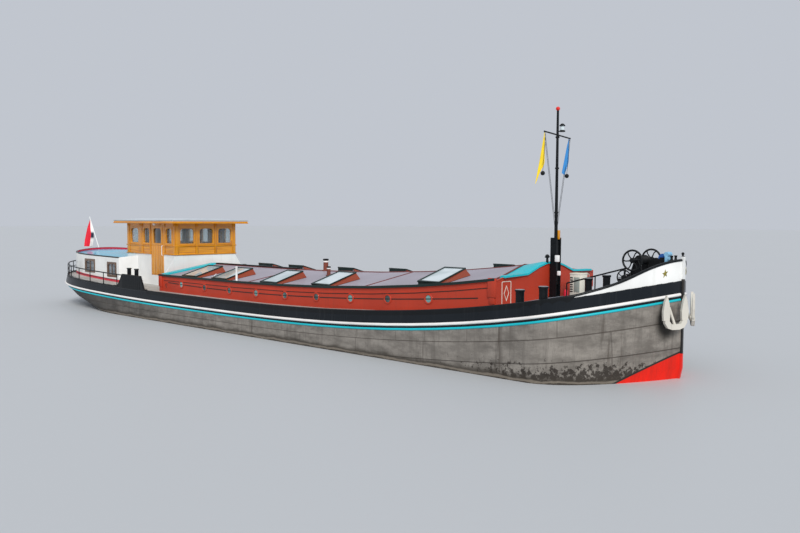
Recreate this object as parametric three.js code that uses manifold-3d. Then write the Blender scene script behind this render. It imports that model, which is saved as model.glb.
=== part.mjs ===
// River barge: a riveted steel motor barge with a plumb stem, a counter stern, a hold under
// cambered hatch covers, a wooden wheelhouse and a low cabin aft.
// Millimetres. Ship frame while building: x forward of the stem (so aft is negative),
// y to port, z above the waterline. The last lines move the whole ship so that its box
// stands on z = 0 and is centred on x = y = 0.
import * as THREE from 'three';
import { mergeVertices } from 'three/addons/utils/BufferGeometryUtils.js';
import Module from 'manifold-3d';

const wasm = await Module();
wasm.setup();

// Main sizes
const HALF_BEAM = 2535;
const DRAFT = 1000;
const BOW_END = 2150;        // aft of the stem, where the hull reaches its full breadth
const RUN_START = 13200;     // aft of the stem, where the stern stations begin
const STERN_END = 24350;     // aft of the stem, where the sheer line ends
const STRAKE_END = 24500;    // aft of the stem, the end of the counter at the strake
const DECK_END = 24330;      // the same at the deck's edge
const DECK_RISE = 280;       // deck edge above the strake
const DECK_CAMBER = 50;
const GAP = 0.4;             // between pieces that touch
const SINK = 90;             // how far a piece is let into the deck before the deck is cut away

// Sheer of the strake: lowest amidships, rising to both ends
const SHEER = { low: 600, mid: 14000, bowRise: 1130, bowPower: 3.1, sternRise: 300, sternPower: 2.4 };

// Coaming and hatches
const COAMING_HALF = 2065;
const COAMING_THICK = 40;
const COAMING_RIM = 40;      // the coaming's edge above its line
const COAMING_LINE = { low: 1400, rise: 1130, power: 2.8 };   // height of the coaming, which falls aft
const HATCH_HALF = 2022;     // the covers lie inside the rim
const HATCH_DROP = 45;       // the covers' underside at the low edge, below the coaming's line
const HATCH_RISE = 295;      // from there up to the ridge
const HATCH_THICK = 45;
const RIDGE_HALF = 70;       // the ridge is flat so far to each side
const HOLD_FORE = 3130;      // aft of the stem
const HOLD_AFT = 16450;
const HOLD_FLOOR = -800;

// Wheelhouse
const WH_FORE = 16850;
const WH_AFT = 20030;
const WH_HALF = 1213;
const WH_SILL = 2000;        // top of the steel base, foot of the wood
const WH_HEAD = 3110;        // top of the wood
const WH_WALL = 50;
const WH_PLATE = 30;
const WH_FLOOR = 1250;
const WIN_LOW = 2380;
const WIN_HIGH = 2930;
const DOOR_AFT = 18400;
const DOOR_FORE = 17580;
const DOOR_LOW = 1290;
const DOOR_HIGH = 2990;
const DOOR_CLEAR = 6;

// Aft cabin
const CABIN_HALF = 1750;
const CABIN_WALL = 40;
const CABIN_RIM = 60;        // the walls' edge above the roof
const CABIN_CAMBER = 150;
const CABIN_LINE = { low: 1800, from: 19680, climb: 0.014 };   // the roof's side, rising aft

// Mast
const MAST_AFT = 2950;
const PIVOT_Z = 2700;
const MAST_TOP = 5760;

const ship = new THREE.Group();

function finish(color, roughness, metalness) {
  return new THREE.MeshStandardMaterial({ color, roughness, metalness });
}

function add(name, geometry, material, group = ship) {
  const mesh = new THREE.Mesh(geometry, material);
  mesh.name = name;
  group.add(mesh);
  return mesh;
}

// Solids and booleans

function solidOf(geometry) {
  const bare = geometry.clone();
  bare.deleteAttribute('normal');
  bare.deleteAttribute('uv');
  const merged = mergeVertices(bare, 1e-4);
  return new wasm.Manifold(new wasm.Mesh({
    numProp: 3,
    vertProperties: new Float32Array(merged.attributes.position.array),
    triVerts: new Uint32Array(merged.index.array),
  }));
}

function geometryOf(solid) {
  const mesh = solid.getMesh();
  const geometry = new THREE.BufferGeometry();
  const count = mesh.vertProperties.length / mesh.numProp;
  const positions = new Float32Array(count * 3);
  for (let i = 0; i < count; i += 1) {
    for (let k = 0; k < 3; k += 1) positions[3 * i + k] = mesh.vertProperties[mesh.numProp * i + k];
  }
  geometry.setAttribute('position', new THREE.BufferAttribute(positions, 3));
  geometry.setIndex(new THREE.BufferAttribute(new Uint32Array(mesh.triVerts), 1));
  return geometry;
}

function join(...parts) {
  return geometryOf(parts.map(solidOf).reduce((sum, part) => sum.add(part)));
}

function cut(body, ...tools) {
  return geometryOf(tools.map(solidOf).reduce((rest, tool) => rest.subtract(tool), solidOf(body)));
}

// Basic shapes, placed in the ship frame

function box(x0, x1, y0, y1, z0, z1) {
  const geometry = new THREE.BoxGeometry(Math.abs(x1 - x0), Math.abs(y1 - y0), Math.abs(z1 - z0));
  return geometry.translate((x0 + x1) / 2, (y0 + y1) / 2, (z0 + z1) / 2);
}

function outline(points) {
  return new THREE.Shape(points.map(([u, v]) => new THREE.Vector2(u, v)));
}

// An outline in x and z, carried along y
function slabY(points, y0, y1) {
  const geometry = new THREE.ExtrudeGeometry(outline(points), { depth: y1 - y0, bevelEnabled: false });
  return geometry.rotateX(Math.PI / 2).translate(0, y1, 0);
}

// An outline in y and z, carried along x
function slabX(points, x0, x1) {
  const geometry = new THREE.ExtrudeGeometry(outline(points), { depth: x1 - x0, bevelEnabled: false });
  return geometry.rotateX(Math.PI / 2).rotateZ(Math.PI / 2).translate(x0, 0, 0);
}

// An outline in x and y, carried along z
function slabZ(points, z0, z1) {
  const geometry = new THREE.ExtrudeGeometry(outline(points), { depth: z1 - z0, bevelEnabled: false });
  return geometry.translate(0, 0, z0);
}

function rodZ(radius, x, y, z0, z1, sides = 16, topRadius = radius) {
  const geometry = new THREE.CylinderGeometry(topRadius, radius, z1 - z0, sides);
  return geometry.rotateX(Math.PI / 2).translate(x, y, (z0 + z1) / 2);
}

function rodY(radius, x, z, y0, y1, sides = 16) {
  return new THREE.CylinderGeometry(radius, radius, y1 - y0, sides).translate(x, (y0 + y1) / 2, z);
}

function rodX(radius, y, z, x0, x1, sides = 16) {
  const geometry = new THREE.CylinderGeometry(radius, radius, x1 - x0, sides);
  return geometry.rotateZ(Math.PI / 2).translate((x0 + x1) / 2, y, z);
}

// A round rod between two points
function strut(from, to, radius, sides = 8, endRadius = radius) {
  const a = new THREE.Vector3(...from);
  const b = new THREE.Vector3(...to);
  const along = b.clone().sub(a);
  const geometry = new THREE.CylinderGeometry(endRadius, radius, along.length(), sides);
  const up = new THREE.Vector3(0, 1, 0);
  const turn = new THREE.Quaternion().setFromUnitVectors(up, along.clone().normalize());
  const middle = a.add(b).multiplyScalar(0.5);
  return geometry.applyQuaternion(turn).translate(middle.x, middle.y, middle.z);
}

// The triangles that fill a flat ring, as places in the ring, in the ring's own turning direction
function ringFaces(ring) {
  const spans = [0, 1, 2].map((k) => {
    const values = ring.map((point) => point[k]);
    return Math.max(...values) - Math.min(...values);
  });
  const flat = spans.indexOf(Math.min(...spans));
  const [u, v] = [0, 1, 2].filter((k) => k !== flat);
  const contour = ring.map((point) => new THREE.Vector2(point[u], point[v]));
  return THREE.ShapeUtils.triangulateShape(contour, []).map((face) => [...face].sort((a, b) => a - b));
}

// A closed body through rings of points; every ring has the same count and turns the same way
function loft(rings) {
  const size = rings[0].length;
  const positions = rings.flat(2);
  const index = [];
  for (let r = 0; r + 1 < rings.length; r += 1) {
    for (let i = 0; i < size; i += 1) {
      const a = r * size + i;
      const b = r * size + (i + 1) % size;
      index.push(a, b, b + size, a, b + size, a + size);
    }
  }
  const last = (rings.length - 1) * size;
  for (const [i, j, k] of ringFaces(rings[0])) index.push(i, k, j);
  for (const [i, j, k] of ringFaces(rings[rings.length - 1])) index.push(last + i, last + j, last + k);
  const geometry = new THREE.BufferGeometry();
  geometry.setAttribute('position', new THREE.BufferAttribute(new Float32Array(positions), 3));
  geometry.setIndex(index);
  return outward(geometry);
}

// Turns a closed body's faces outwards where its volume comes out negative
function outward(geometry) {
  const p = geometry.attributes.position;
  const index = geometry.index.array;
  const [a, b, c] = [new THREE.Vector3(), new THREE.Vector3(), new THREE.Vector3()];
  let volume = 0;
  for (let i = 0; i < index.length; i += 3) {
    a.fromBufferAttribute(p, index[i]);
    b.fromBufferAttribute(p, index[i + 1]);
    c.fromBufferAttribute(p, index[i + 2]);
    volume += a.dot(b.cross(c));
  }
  if (volume < 0) {
    for (let i = 0; i < index.length; i += 3) [index[i], index[i + 1]] = [index[i + 1], index[i]];
  }
  return geometry;
}

// Hull form

function strakeHeight(aft) {
  const bow = Math.max(0, (SHEER.mid - aft) / SHEER.mid);
  const stern = Math.max(0, (aft - SHEER.mid) / (STERN_END - SHEER.mid));
  return SHEER.low + SHEER.bowRise * bow ** SHEER.bowPower + SHEER.sternRise * stern ** SHEER.sternPower;
}

function deckHeight(aft, y = HALF_BEAM) {
  return strakeHeight(aft) + DECK_RISE + DECK_CAMBER * Math.max(0, 1 - (y / HALF_BEAM) ** 2);
}

// Hull levels from the flat bottom to the strake.
// rise: share of the height from bottom to strake. inset: narrower than the full beam.
// foot: where the stem starts. end: where the stern ends. run: where the stern narrows.
// entry: fullness of the bow, lower is fuller.
const LEVELS = [
  { rise: 0, inset: 380, foot: 620, end: 18800, run: 13500, entry: 1.0 },
  { rise: 0.0325, inset: 190, foot: 480, end: 19150, run: 13600, entry: 1.0 },
  { rise: 0.121, inset: 51, foot: 300, end: 19600, run: 13800, entry: 1.0 },
  { rise: 0.242, inset: 0, foot: 120, end: 19950, run: 14300, entry: 1.0 },
  { rise: 0.45, inset: 0, foot: 0, end: 20600, run: 16300, entry: 0.97 },
  { rise: 0.637, inset: 0, foot: 0, end: 21950, run: 18000, entry: 0.9 },
  { rise: 0.82, inset: 0, foot: 0, end: 23550, run: 19200, entry: 0.82 },
  { rise: 1, inset: 0, foot: 0, end: STRAKE_END, run: 19900, entry: 0.77 },
];
const STRAKE_LEVEL = LEVELS[LEVELS.length - 1];
const DECK_LEVEL = { ...STRAKE_LEVEL, inset: 15, end: DECK_END };
const BOW_STEPS = [0, 0.01, 0.04, 0.09, 0.16, 0.25, 0.36, 0.5, 0.66, 0.83, 1];
const MIDDLE_STATIONS = [3400, 4800, 6400, 8400, 10800];
const STERN_STEPS = [0, 0.15, 0.3, 0.45, 0.58, 0.68, 0.76, 0.83, 0.89, 0.93, 0.96, 0.98, 0.992, 0.998, 1];

function stationsOf(level) {
  const bow = BOW_STEPS.map((b) => level.foot + (BOW_END + level.foot / 2 - level.foot) * b);
  const stern = STERN_STEPS.map((t) => RUN_START + (level.end - RUN_START) * t);
  return [...bow, ...MIDDLE_STATIONS, ...stern];
}

function halfBreadth(level, aft, grow = 0) {
  const b = Math.min(1, Math.max(0, (aft - level.foot) / (BOW_END + level.foot / 2 - level.foot)));
  const v = Math.min(1, Math.max(0, (aft - level.run) / (level.end - level.run)));
  const bow = (1 - (1 - b) ** 2) ** level.entry;
  const stern = (1 - v ** 3) ** (1 / 2.2);
  return (HALF_BEAM - level.inset) * bow * stern + (bow * stern > 0 ? grow : 0);
}

// One waterline of the hull: starboard from stem to stern, then port back to the stem
function waterline(level, heightOf, grow = 0) {
  const stations = stationsOf(level);
  const starboard = stations.map((aft) => [-aft, -halfBreadth(level, aft, grow), heightOf(aft)]);
  const port = starboard.slice(1, -1).reverse().map(([x, y, z]) => [x, -y, z]);
  const ring = [...starboard, ...port];
  if (grow > 0) {
    ring[0][0] += 2 * grow;
    ring[stations.length - 1][0] -= 2 * grow;
  }
  return ring;
}

// The decked hull as one closed body; grow makes a slightly larger copy for cutting
function hullForm(grow = 0) {
  const rings = LEVELS.map((level) => waterline(
    level,
    (aft) => -DRAFT + (strakeHeight(aft) + DRAFT) * level.rise,
    grow,
  ));
  rings.push(waterline(DECK_LEVEL, (aft) => deckHeight(aft) + grow, grow));
  const size = rings[0].length;
  const half = stationsOf(LEVELS[0]).length;
  const positions = rings.flat(2);
  const index = [];
  for (let r = 0; r + 1 < rings.length; r += 1) {
    for (let i = 0; i < size; i += 1) {
      const a = r * size + i;
      const b = r * size + (i + 1) % size;
      index.push(a, b, b + size, a, b + size, a + size);
    }
  }
  // Bottom: strips between starboard and port points. Deck: the same with a cambered middle line.
  const opposite = (i) => (i === 0 || i === half - 1 ? i : size - i);
  const top = (rings.length - 1) * size;
  const middle = positions.length / 3;
  for (let i = 1; i + 1 < half; i += 1) {
    const [x, , z] = rings[rings.length - 1][i];
    positions.push(x, 0, z + DECK_CAMBER * Math.min(1, Math.abs(rings[rings.length - 1][i][1]) / 1200));
  }
  for (let i = 0; i + 1 < half; i += 1) {
    const quad = [i, i + 1, opposite(i + 1), opposite(i)];
    if (i === 0) index.push(0, quad[2], quad[1]);
    else if (i === half - 2) index.push(quad[0], quad[3], quad[1]);
    else index.push(quad[0], quad[3], quad[1], quad[3], quad[2], quad[1]);
    const m0 = i === 0 ? top : middle + i - 1;
    const m1 = i === half - 2 ? top + half - 1 : middle + i;
    const s0 = top + i;
    const s1 = top + i + 1;
    const p0 = top + opposite(i);
    const p1 = top + opposite(i + 1);
    if (s0 !== m0) index.push(s0, s1, m0);
    if (s1 !== m1) index.push(s1, m1, m0);
    if (p1 !== m1) index.push(m0, m1, p1);
    if (p0 !== m0) index.push(m0, p1, p0);
  }
  const geometry = new THREE.BufferGeometry();
  geometry.setAttribute('position', new THREE.BufferAttribute(new Float32Array(positions), 3));
  geometry.setIndex(index);
  return outward(geometry);
}

// A point on the hull's upper side at a height above (or below) the strake, with its outward
// direction in plan; step runs through the stations of the strake level
function sidePoint(step, above) {
  const top = STRAKE_LEVEL;
  const lower = LEVELS[LEVELS.length - 2];
  const topAft = stationsOf(top)[step];
  const lowAft = stationsOf(lower)[step];
  const topZ = strakeHeight(topAft);
  const lowZ = -DRAFT + (strakeHeight(lowAft) + DRAFT) * lower.rise;
  const share = above >= 0 ? 0 : -above / (topZ - lowZ);
  const aft = topAft + (lowAft - topAft) * share;
  const half = halfBreadth(top, topAft) * (1 - share) + halfBreadth(lower, lowAft) * share;
  return { aft, half, z: topZ + above };
}

// The path of the strake or the deck edge: starboard, round the stern when asked, and port
function sidePath(above, firstStep, lastStep) {
  const points = [];
  for (let step = firstStep; step <= lastStep; step += 1) points.push(sidePoint(step, above));
  return points.map(({ aft, half, z }) => new THREE.Vector3(-aft, -half, z));
}

function bothSides(starboard, meetsAtEnd) {
  const port = starboard.map((p) => new THREE.Vector3(p.x, -p.y, p.z)).reverse();
  return meetsAtEnd ? [...starboard, ...port.slice(1)] : [...starboard, ...port];
}

// Carries a section of [out, up] pairs along a path that runs with the hull on its port hand side
function band(path, section) {
  const rings = path.map((p, i) => {
    const before = path[Math.max(0, i - 1)];
    const after = path[Math.min(path.length - 1, i + 1)];
    const inDir = new THREE.Vector2(p.x - before.x, p.y - before.y).normalize();
    const outDir = new THREE.Vector2(after.x - p.x, after.y - p.y).normalize();
    const along = inDir.add(outDir).normalize();
    const points = typeof section === 'function' ? section(p, i) : section;
    return points.map(([out, up]) => [p.x + along.y * -out, p.y + along.x * out, p.z + up]);
  });
  return loft(rings);
}

const grownHull = hullForm(GAP);
const STATION_COUNT = stationsOf(LEVELS[0]).length;
const STEEL_BLACK = finish(0x1b1d20, 0.45, 0.4);
const WHITE_PAINT = finish(0xe9ebea, 0.4, 0.1);
const RED_PAINT = finish(0xb0402f, 0.5, 0.1);
const VARNISHED = finish(0xb8722a, 0.35, 0);

function seated(geometry) {
  return cut(geometry, grownHull);
}

// A doubling plate that follows the slope of the deck
function deckPlate(fore, aft, y0, y1, thick) {
  const y = Math.min(Math.abs(y0), Math.abs(y1));
  const ends = [deckHeight(fore, y), deckHeight(aft, y)];
  const side = [[-aft, ends[1] - SINK], [-fore, ends[0] - SINK], [-fore, ends[0] + thick],
    [-aft, ends[1] + thick]];
  return slabY(side, Math.min(y0, y1), Math.max(y0, y1));
}

// Hull with its hold and engine room

const ENGINE_ROOM = { fore: 17150, aft: 19150, half: 900, floor: -550 };
const CABIN_SOLE = { fore: 20150, aft: 21700, half: 1200, floor: 350 };
const RUDDER_AFT = 21500;
const STOCK_RADIUS = 40;

const SHAFT_Z = -560;
const PROPELLER = { fore: 20905, aft: 21045, radius: 310, hub: 60, blades: 4 };
const TAIL_SHAFT = 32;
const SOLE = { aft: 21800, top: -930 };

function skeg() {
  const side = [
    [-17900, -DRAFT], [-SOLE.aft, -DRAFT], [-SOLE.aft, SOLE.top], [-20870, SOLE.top],
    [-20870, 100], [-17900, 100],
  ];
  const plate = slabY(side, -35, 35);
  const boss = rodX(75, 0, SHAFT_Z, -PROPELLER.fore + 5, -20300, 14);
  const bearing = rodX(TAIL_SHAFT + 0.9, 0, SHAFT_Z, -PROPELLER.fore - 50, -20590, 14);
  return cut(join(plate, boss), bearing);
}

function hull() {
  const room = ENGINE_ROOM;
  const hold = box(-HOLD_FORE - 120, -HOLD_AFT + 200, -1930, 1930, HOLD_FLOOR, 3000);
  const engine = box(-room.fore, -room.aft, -room.half, room.half, room.floor, 3000);
  const sole = CABIN_SOLE;
  const cabin = box(-sole.fore, -sole.aft, -sole.half, sole.half, sole.floor, 3000);
  const trunk = rodZ(STOCK_RADIUS + 3, -RUDDER_AFT, 0, -750, 290, 16);
  return cut(join(hullForm(), skeg()), hold, engine, cabin, trunk);
}

const STRAKE_WHITE = [[-20, -32], [0, -32], [32, -14], [32, 14], [0, 32], [-20, 32]];
const STRAKE_BLUE = [[-20, -26], [0, -26], [24, 0], [0, 26], [-20, 26]];

function strake(section, above) {
  return seated(band(bothSides(sidePath(above, 1, STATION_COUNT - 1), true), section));
}

function stemBar() {
  const rows = LEVELS.map((level) => [-level.foot, -DRAFT + (strakeHeight(0) + DRAFT) * level.rise]);
  const front = rows.map(([x, z]) => [x + 45, z]);
  const back = rows.map(([x, z]) => [x - 60, z]).reverse();
  const head = [[45, 2470], [30, 2510], [-10, 2510], [-24, 2470], [-24, 1900], [-60, 1900]];
  const side = [...front, ...head, ...back];
  const foot = box(-1500, 500, -100, 100, -DRAFT - 200, -DRAFT + 60);
  return seated(cut(slabY(side, -27, 27), foot));
}

// Height of the bow bulwark above the deck edge, by distance aft of the stem
const BULWARK_STEPS = [[0, 420], [80, 395], [300, 320], [500, 180], [750, 90], [1200, 8], [9000, 8]];

function bulwarkHeight(aft) {
  const next = BULWARK_STEPS.findIndex(([at]) => at >= aft);
  if (next < 0) return BULWARK_STEPS[BULWARK_STEPS.length - 1][1];
  if (next === 0) return BULWARK_STEPS[0][1];
  const [a0, h0] = BULWARK_STEPS[next - 1];
  const [a1, h1] = BULWARK_STEPS[next];
  return h0 + ((h1 - h0) * (aft - a0)) / (a1 - a0);
}

const BOW_PATH_AFT = [1350, 1150, 900, 700, 520, 370, 250, 160, 90, 40];

function bowPath(list, above) {
  const starboard = list.map((aft) => (
    new THREE.Vector3(-aft, -halfBreadth(DECK_LEVEL, aft), deckHeight(aft) + above)
  ));
  return bothSides(starboard, false).reverse();
}

function bowBulwark() {
  return seated(band(bowPath(BOW_PATH_AFT, 0), (p) => {
    const top = bulwarkHeight(-p.x);
    return [[-2, -SINK], [-2, top], [-34, top], [-34, -SINK]];
  }));
}

const GUNWALE_AFT = [16480, 15000, 13200, 11500, 9800, 8400, 7200, 6000, 4900, 3900, 3100, 2400, 1800];

function gunwaleCap() {
  const list = [...GUNWALE_AFT, ...BOW_PATH_AFT];
  return seated(band(bowPath(list, 0), (p) => {
    const foot = -p.x > 1400 ? -SINK : bulwarkHeight(-p.x) + 1.5;
    const top = Math.max(0, bulwarkHeight(-p.x) - 8) + 48;
    return [[8, foot], [12, top - 18], [-4, top], [-40, top], [-52, top - 18], [-48, foot]];
  }));
}

// Posts with a wider head, as a pair on one side
function bollards(pair, side) {
  return pair.afts.flatMap((aft) => {
    const deck = deckHeight(aft, pair.y);
    return [
      rodZ(pair.radius, -aft, side * pair.y, deck - SINK, deck + pair.rise - 15, 14),
      rodZ(pair.head, -aft, side * pair.y, deck + pair.rise - 30, deck + pair.rise, 14),
    ];
  });
}

// Stern bulwark with its raised quarters and double bollards

const QUARTER = { fore: 16660, topFore: 16870, topAft: 18030, aft: 18340, rise: 415 };
const STERN_RAISE = 50;
const STERN_BOLLARD = {
  afts: [17650, 18130], y: 2200, radius: 66, head: 80, rise: 645, plate: [17450, 18330],
};

function sternStation(aft) {
  return new THREE.Vector3(-aft, -halfBreadth(DECK_LEVEL, aft), deckHeight(aft));
}

const STERN_PATH_AFT = [16500, QUARTER.fore, QUARTER.topFore, QUARTER.topAft, QUARTER.aft, 19200, 20000,
  20900, 21700, 22400, 22950, 23400, 23750, 24000, 24180, 24280, DECK_END];

function sternBulwark() {
  const path = bothSides(STERN_PATH_AFT.map(sternStation), true);
  const wall = band(path, (p) => {
    const aft = -p.x;
    const onRise = aft >= QUARTER.topFore && aft <= QUARTER.topAft;
    const top = STERN_RAISE + (onRise ? QUARTER.rise : 0);
    return [[0, -SINK], [0, top - 12], [8, top - 12], [8, top], [-52, top], [-52, top - 12], [-40, top - 12],
      [-40, -SINK]];
  });
  const posts = [];
  for (const side of [-1, 1]) {
    posts.push(...bollards(STERN_BOLLARD, side));
    posts.push(deckPlate(...STERN_BOLLARD.plate, side * 2110, side * 2500, 30));
  }
  return seated(join(wall, ...posts));
}

const RAIL_RISE = 385;
const RAIL_PATH_AFT = [18075, 18420, 19360, 20340, 21240, 22100, 22850, 23400, 23800, 24060, 24200];
const RAIL_POSTS = [1, 2, 3, 4, 5, 6, 7, 8, 10];
const RAIL_END_HALF = 260;

function sternRail() {
  const starboard = RAIL_PATH_AFT.map((aft, i) => {
    const p = sternStation(aft);
    const y = i === RAIL_PATH_AFT.length - 1 ? -RAIL_END_HALF : p.y + 25;
    return new THREE.Vector3(p.x, y, p.z + STERN_RAISE);
  });
  const rail = (radius, above, first) => band(
    bothSides(starboard.slice(first), false).map((p) => new THREE.Vector3(p.x, p.y, p.z + above)),
    stationsBetween(0, (5 * Math.PI) / 3, 5).map((a) => [radius * Math.cos(a), radius * Math.sin(a)]),
  );
  const pieces = [rail(20, RAIL_RISE, 0), rail(11, RAIL_RISE * 0.52, 1)];
  for (const k of RAIL_POSTS) {
    for (const side of [-1, 1]) {
      const { x, y, z } = starboard[k];
      pieces.push(rodZ(15, x, side * -y, z + 2, z + RAIL_RISE, 6));
    }
  }
  return join(...pieces);
}

// Stern gear: propeller and rudder

function propeller() {
  const pieces = [
    rodX(PROPELLER.hub, 0, SHAFT_Z, -PROPELLER.aft, -PROPELLER.fore, 16),
    rodX(TAIL_SHAFT, 0, SHAFT_Z, -PROPELLER.fore - 20, -20600, 14),
    new THREE.ConeGeometry(PROPELLER.hub - 4, 80, 16).rotateZ(Math.PI / 2)
      .translate(-PROPELLER.aft - 38, 0, SHAFT_Z),
  ];
  const middle = -(PROPELLER.fore + PROPELLER.aft) / 2;
  for (let k = 0; k < PROPELLER.blades; k += 1) {
    const tip = [-20, PROPELLER.radius];
    const blade = slabY([[-45, 20], [-95, 150], [-85, 250], tip, [60, 290], [95, 190], [45, 20]], -7, 7);
    blade.rotateZ(0.6).rotateX((k * 2 * Math.PI) / PROPELLER.blades);
    pieces.push(blade.translate(middle, 0, SHAFT_Z));
  }
  return join(...pieces);
}

function rudder() {
  const side = [[-21240, -900], [-22150, -900], [-22180, -330], [-21900, -250], [-21240, -300]];
  const blade = slabY(side, -22, 22);
  const stock = rodZ(STOCK_RADIUS, -RUDDER_AFT, 0, -895, 240, 16);
  const pintle = rodZ(28, -RUDDER_AFT, 0, SOLE.top + GAP, -890, 12);
  return join(blade, stock, pintle);
}

function engine() {
  const floor = ENGINE_ROOM.floor + GAP;
  return box(-17350, -18950, -400, 400, floor, floor + 1050);
}

// Hold coaming, headboards and hatch covers

// The coaming's top edge runs straight from frame to frame
const FRAMES = [HOLD_FORE, 4200, 5400, 6800, 8400, 10200, 12200, 14200, HOLD_AFT];

function coamingLine(aft) {
  const share = Math.max(0, (SHEER.mid - aft) / SHEER.mid);
  return COAMING_LINE.low + COAMING_LINE.rise * share ** COAMING_LINE.power;
}

function coamingTop(at) {
  const aft = Math.min(HOLD_AFT, Math.max(HOLD_FORE, at));
  const next = Math.max(1, FRAMES.findIndex((frame) => frame >= aft));
  const share = (aft - FRAMES[next - 1]) / (FRAMES[next] - FRAMES[next - 1]);
  const low = coamingLine(FRAMES[next - 1]);
  return low + (coamingLine(FRAMES[next]) - low) * share;
}

function stationsBetween(fore, aft, count) {
  return Array.from({ length: count + 1 }, (_, i) => fore + ((aft - fore) * i) / count);
}

// The coaming: a bar along the outside at half height, a wide rim and an inner ledge for the covers
function coaming(side) {
  const stations = [HOLD_FORE + 45, ...FRAMES.slice(1, -1), HOLD_AFT - 45];
  const section = (aft) => {
    const line = coamingTop(aft);
    const foot = deckHeight(aft) - SINK;
    const ledge = line - HATCH_DROP - GAP;
    return [[-COAMING_THICK, foot], [0, foot], [0, line - 150], [12, line - 140], [12, line - 120],
      [0, line - 110], [0, line - 40], [22, line - 15], [22, line + COAMING_RIM],
      [-COAMING_THICK, line + COAMING_RIM],
      [-COAMING_THICK, ledge], [-75, ledge], [-75, ledge - 15], [-COAMING_THICK, ledge - 55]];
  };
  return seated(loft(stations.map((aft) => (
    section(aft).map(([out, z]) => [-aft, side * (COAMING_HALF + out), z])
  ))));
}

// The hatch roof is a gable with a narrow flat ridge: its underside above the coaming's line
const COVER_FORE = HOLD_FORE + 60;
const COVER_AFT = HOLD_AFT + 12;
const ROOF_Y = [-HATCH_HALF, -1000, -RIDGE_HALF, RIDGE_HALF, 1000, HATCH_HALF];

function roofRise(y) {
  const across = Math.max(0, Math.abs(y) - RIDGE_HALF);
  return HATCH_RISE * (1 - across / (HATCH_HALF - RIDGE_HALF)) - HATCH_DROP;
}

// The fore headboard in plan, and its top above the coaming's line, from the middle outwards:
// it is high under the ridge and low beside it
const HEADBOARD = [
  { aft: 3060, y: 60, rise: 281 },
  { aft: 3061, y: 180, rise: 284 },
  { aft: 3067, y: 520, rise: 212 },
  { aft: 3073, y: 980, rise: 62 },
  { aft: 3090, y: 1430, rise: 49 },
  { aft: 3115, y: 1820, rise: 44 },
  { aft: HOLD_FORE, y: COAMING_HALF, rise: -15 },
];

function acrossShip(half) {
  return [...half.map((row) => ({ ...row, y: -row.y })).reverse(), ...half];
}

function foreHeadboard() {
  const rings = acrossShip(HEADBOARD).map(({ aft, y, rise }) => {
    const top = coamingTop(HOLD_FORE) + rise;
    const foot = deckHeight(aft) - SINK;
    return [[-aft, y, foot], [-aft, y, top], [-aft - COAMING_THICK, y, top], [-aft - COAMING_THICK, y, foot]];
  });
  return seated(loft(rings));
}

// The aft headboard carries the covers and closes the coaming's rim at its corners
function aftHeadboard() {
  const line = coamingTop(HOLD_AFT);
  const inside = HATCH_HALF + 4;
  const crest = [-inside, ...ROOF_Y.slice(1, -1), inside].map((y) => [y, line + roofRise(y)]);
  const corner = (side) => [[side * COAMING_HALF, line + COAMING_RIM], [side * inside, line + COAMING_RIM]];
  const foot = deckHeight(HOLD_AFT) - SINK;
  const shape = [[-COAMING_HALF, foot], [COAMING_HALF, foot], ...corner(1), ...crest.reverse(),
    ...corner(-1).reverse()];
  return seated(slabX(shape, -HOLD_AFT, -HOLD_AFT + COAMING_THICK));
}

// Skylights: where each opening lies along the hold, a pair of them, one on each slope
const SKYLIGHTS = [
  { name: '1', fore: 4770, aft: 5370 },
  { name: '2', fore: 8420, aft: 9060 },
  { name: '3', fore: 10570, aft: 11230 },
  { name: '4', fore: 12900, aft: 13600 },
  { name: '5', fore: 14460, aft: 15200 },
];
// The lid's underside is straight from a low edge to a high one, each above the coaming's line
const SKY = { low: 1980, lowTop: 36, high: 1000, highTop: 316, wall: 35, face: 150, lid: 34, lip: 22 };

function skylightTop(light, y) {
  const share = (SKY.low - Math.abs(y)) / (SKY.low - SKY.high);
  return coamingTop(light.fore) + SKY.lowTop + (SKY.highTop - SKY.lowTop) * share;
}

function skylightFrame(light, side, widen, low, high) {
  const y0 = side * (SKY.high - widen);
  const y1 = side * (SKY.low + widen);
  const shape = [[y0, low(y0)], [y1, low(y1)], [y1, high(y1)], [y0, high(y0)]];
  return slabX(shape, -light.aft - widen, -light.fore + widen);
}

// The sloping board before the frame
function skylightFace(light, side) {
  return loft([SKY.high, SKY.low].map((across) => {
    const y = side * across;
    const foot = coamingTop(light.fore) + roofRise(y) + HATCH_THICK - 15;
    const top = skylightTop(light, y);
    const back = -light.fore - SKY.wall / 2;
    return [[back, y, top], [-light.fore, y, top], [-light.fore + SKY.face, y, foot], [back, y, foot]];
  }));
}

function hatchCover(fore, aft, lights) {
  const stations = [fore, ...FRAMES.filter((at) => at > fore && at < aft), aft];
  let cover = solidOf(archLoft(stations.map((at) => roofRing(at, GAP, HATCH_THICK, ROOF_Y))));
  for (const light of lights) {
    for (const side of [-1, 1]) {
      const surface = (y) => coamingTop(light.aft) + roofRise(y) + 8;
      const top = (y) => skylightTop(light, y);
      const frame = skylightFrame(light, side, 0, surface, top);
      const hole = skylightFrame(light, side, -SKY.wall, (y) => surface(y) - 300, (y) => top(y) + 200);
      cover = cover.add(solidOf(frame)).add(solidOf(skylightFace(light, side))).subtract(solidOf(hole));
    }
  }
  return geometryOf(cover);
}

// One cross-section of the hatch roof's covering: a strip of the given thickness, lifted by a gap
function roofRing(at, lift, thick, across) {
  const height = (y) => coamingTop(at) + roofRise(y) + lift;
  const outer = across.map((y) => [-at, y, height(y) + thick]);
  const inner = across.map((y) => [-at, y, height(y)]).reverse();
  return [...outer, ...inner];
}

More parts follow.
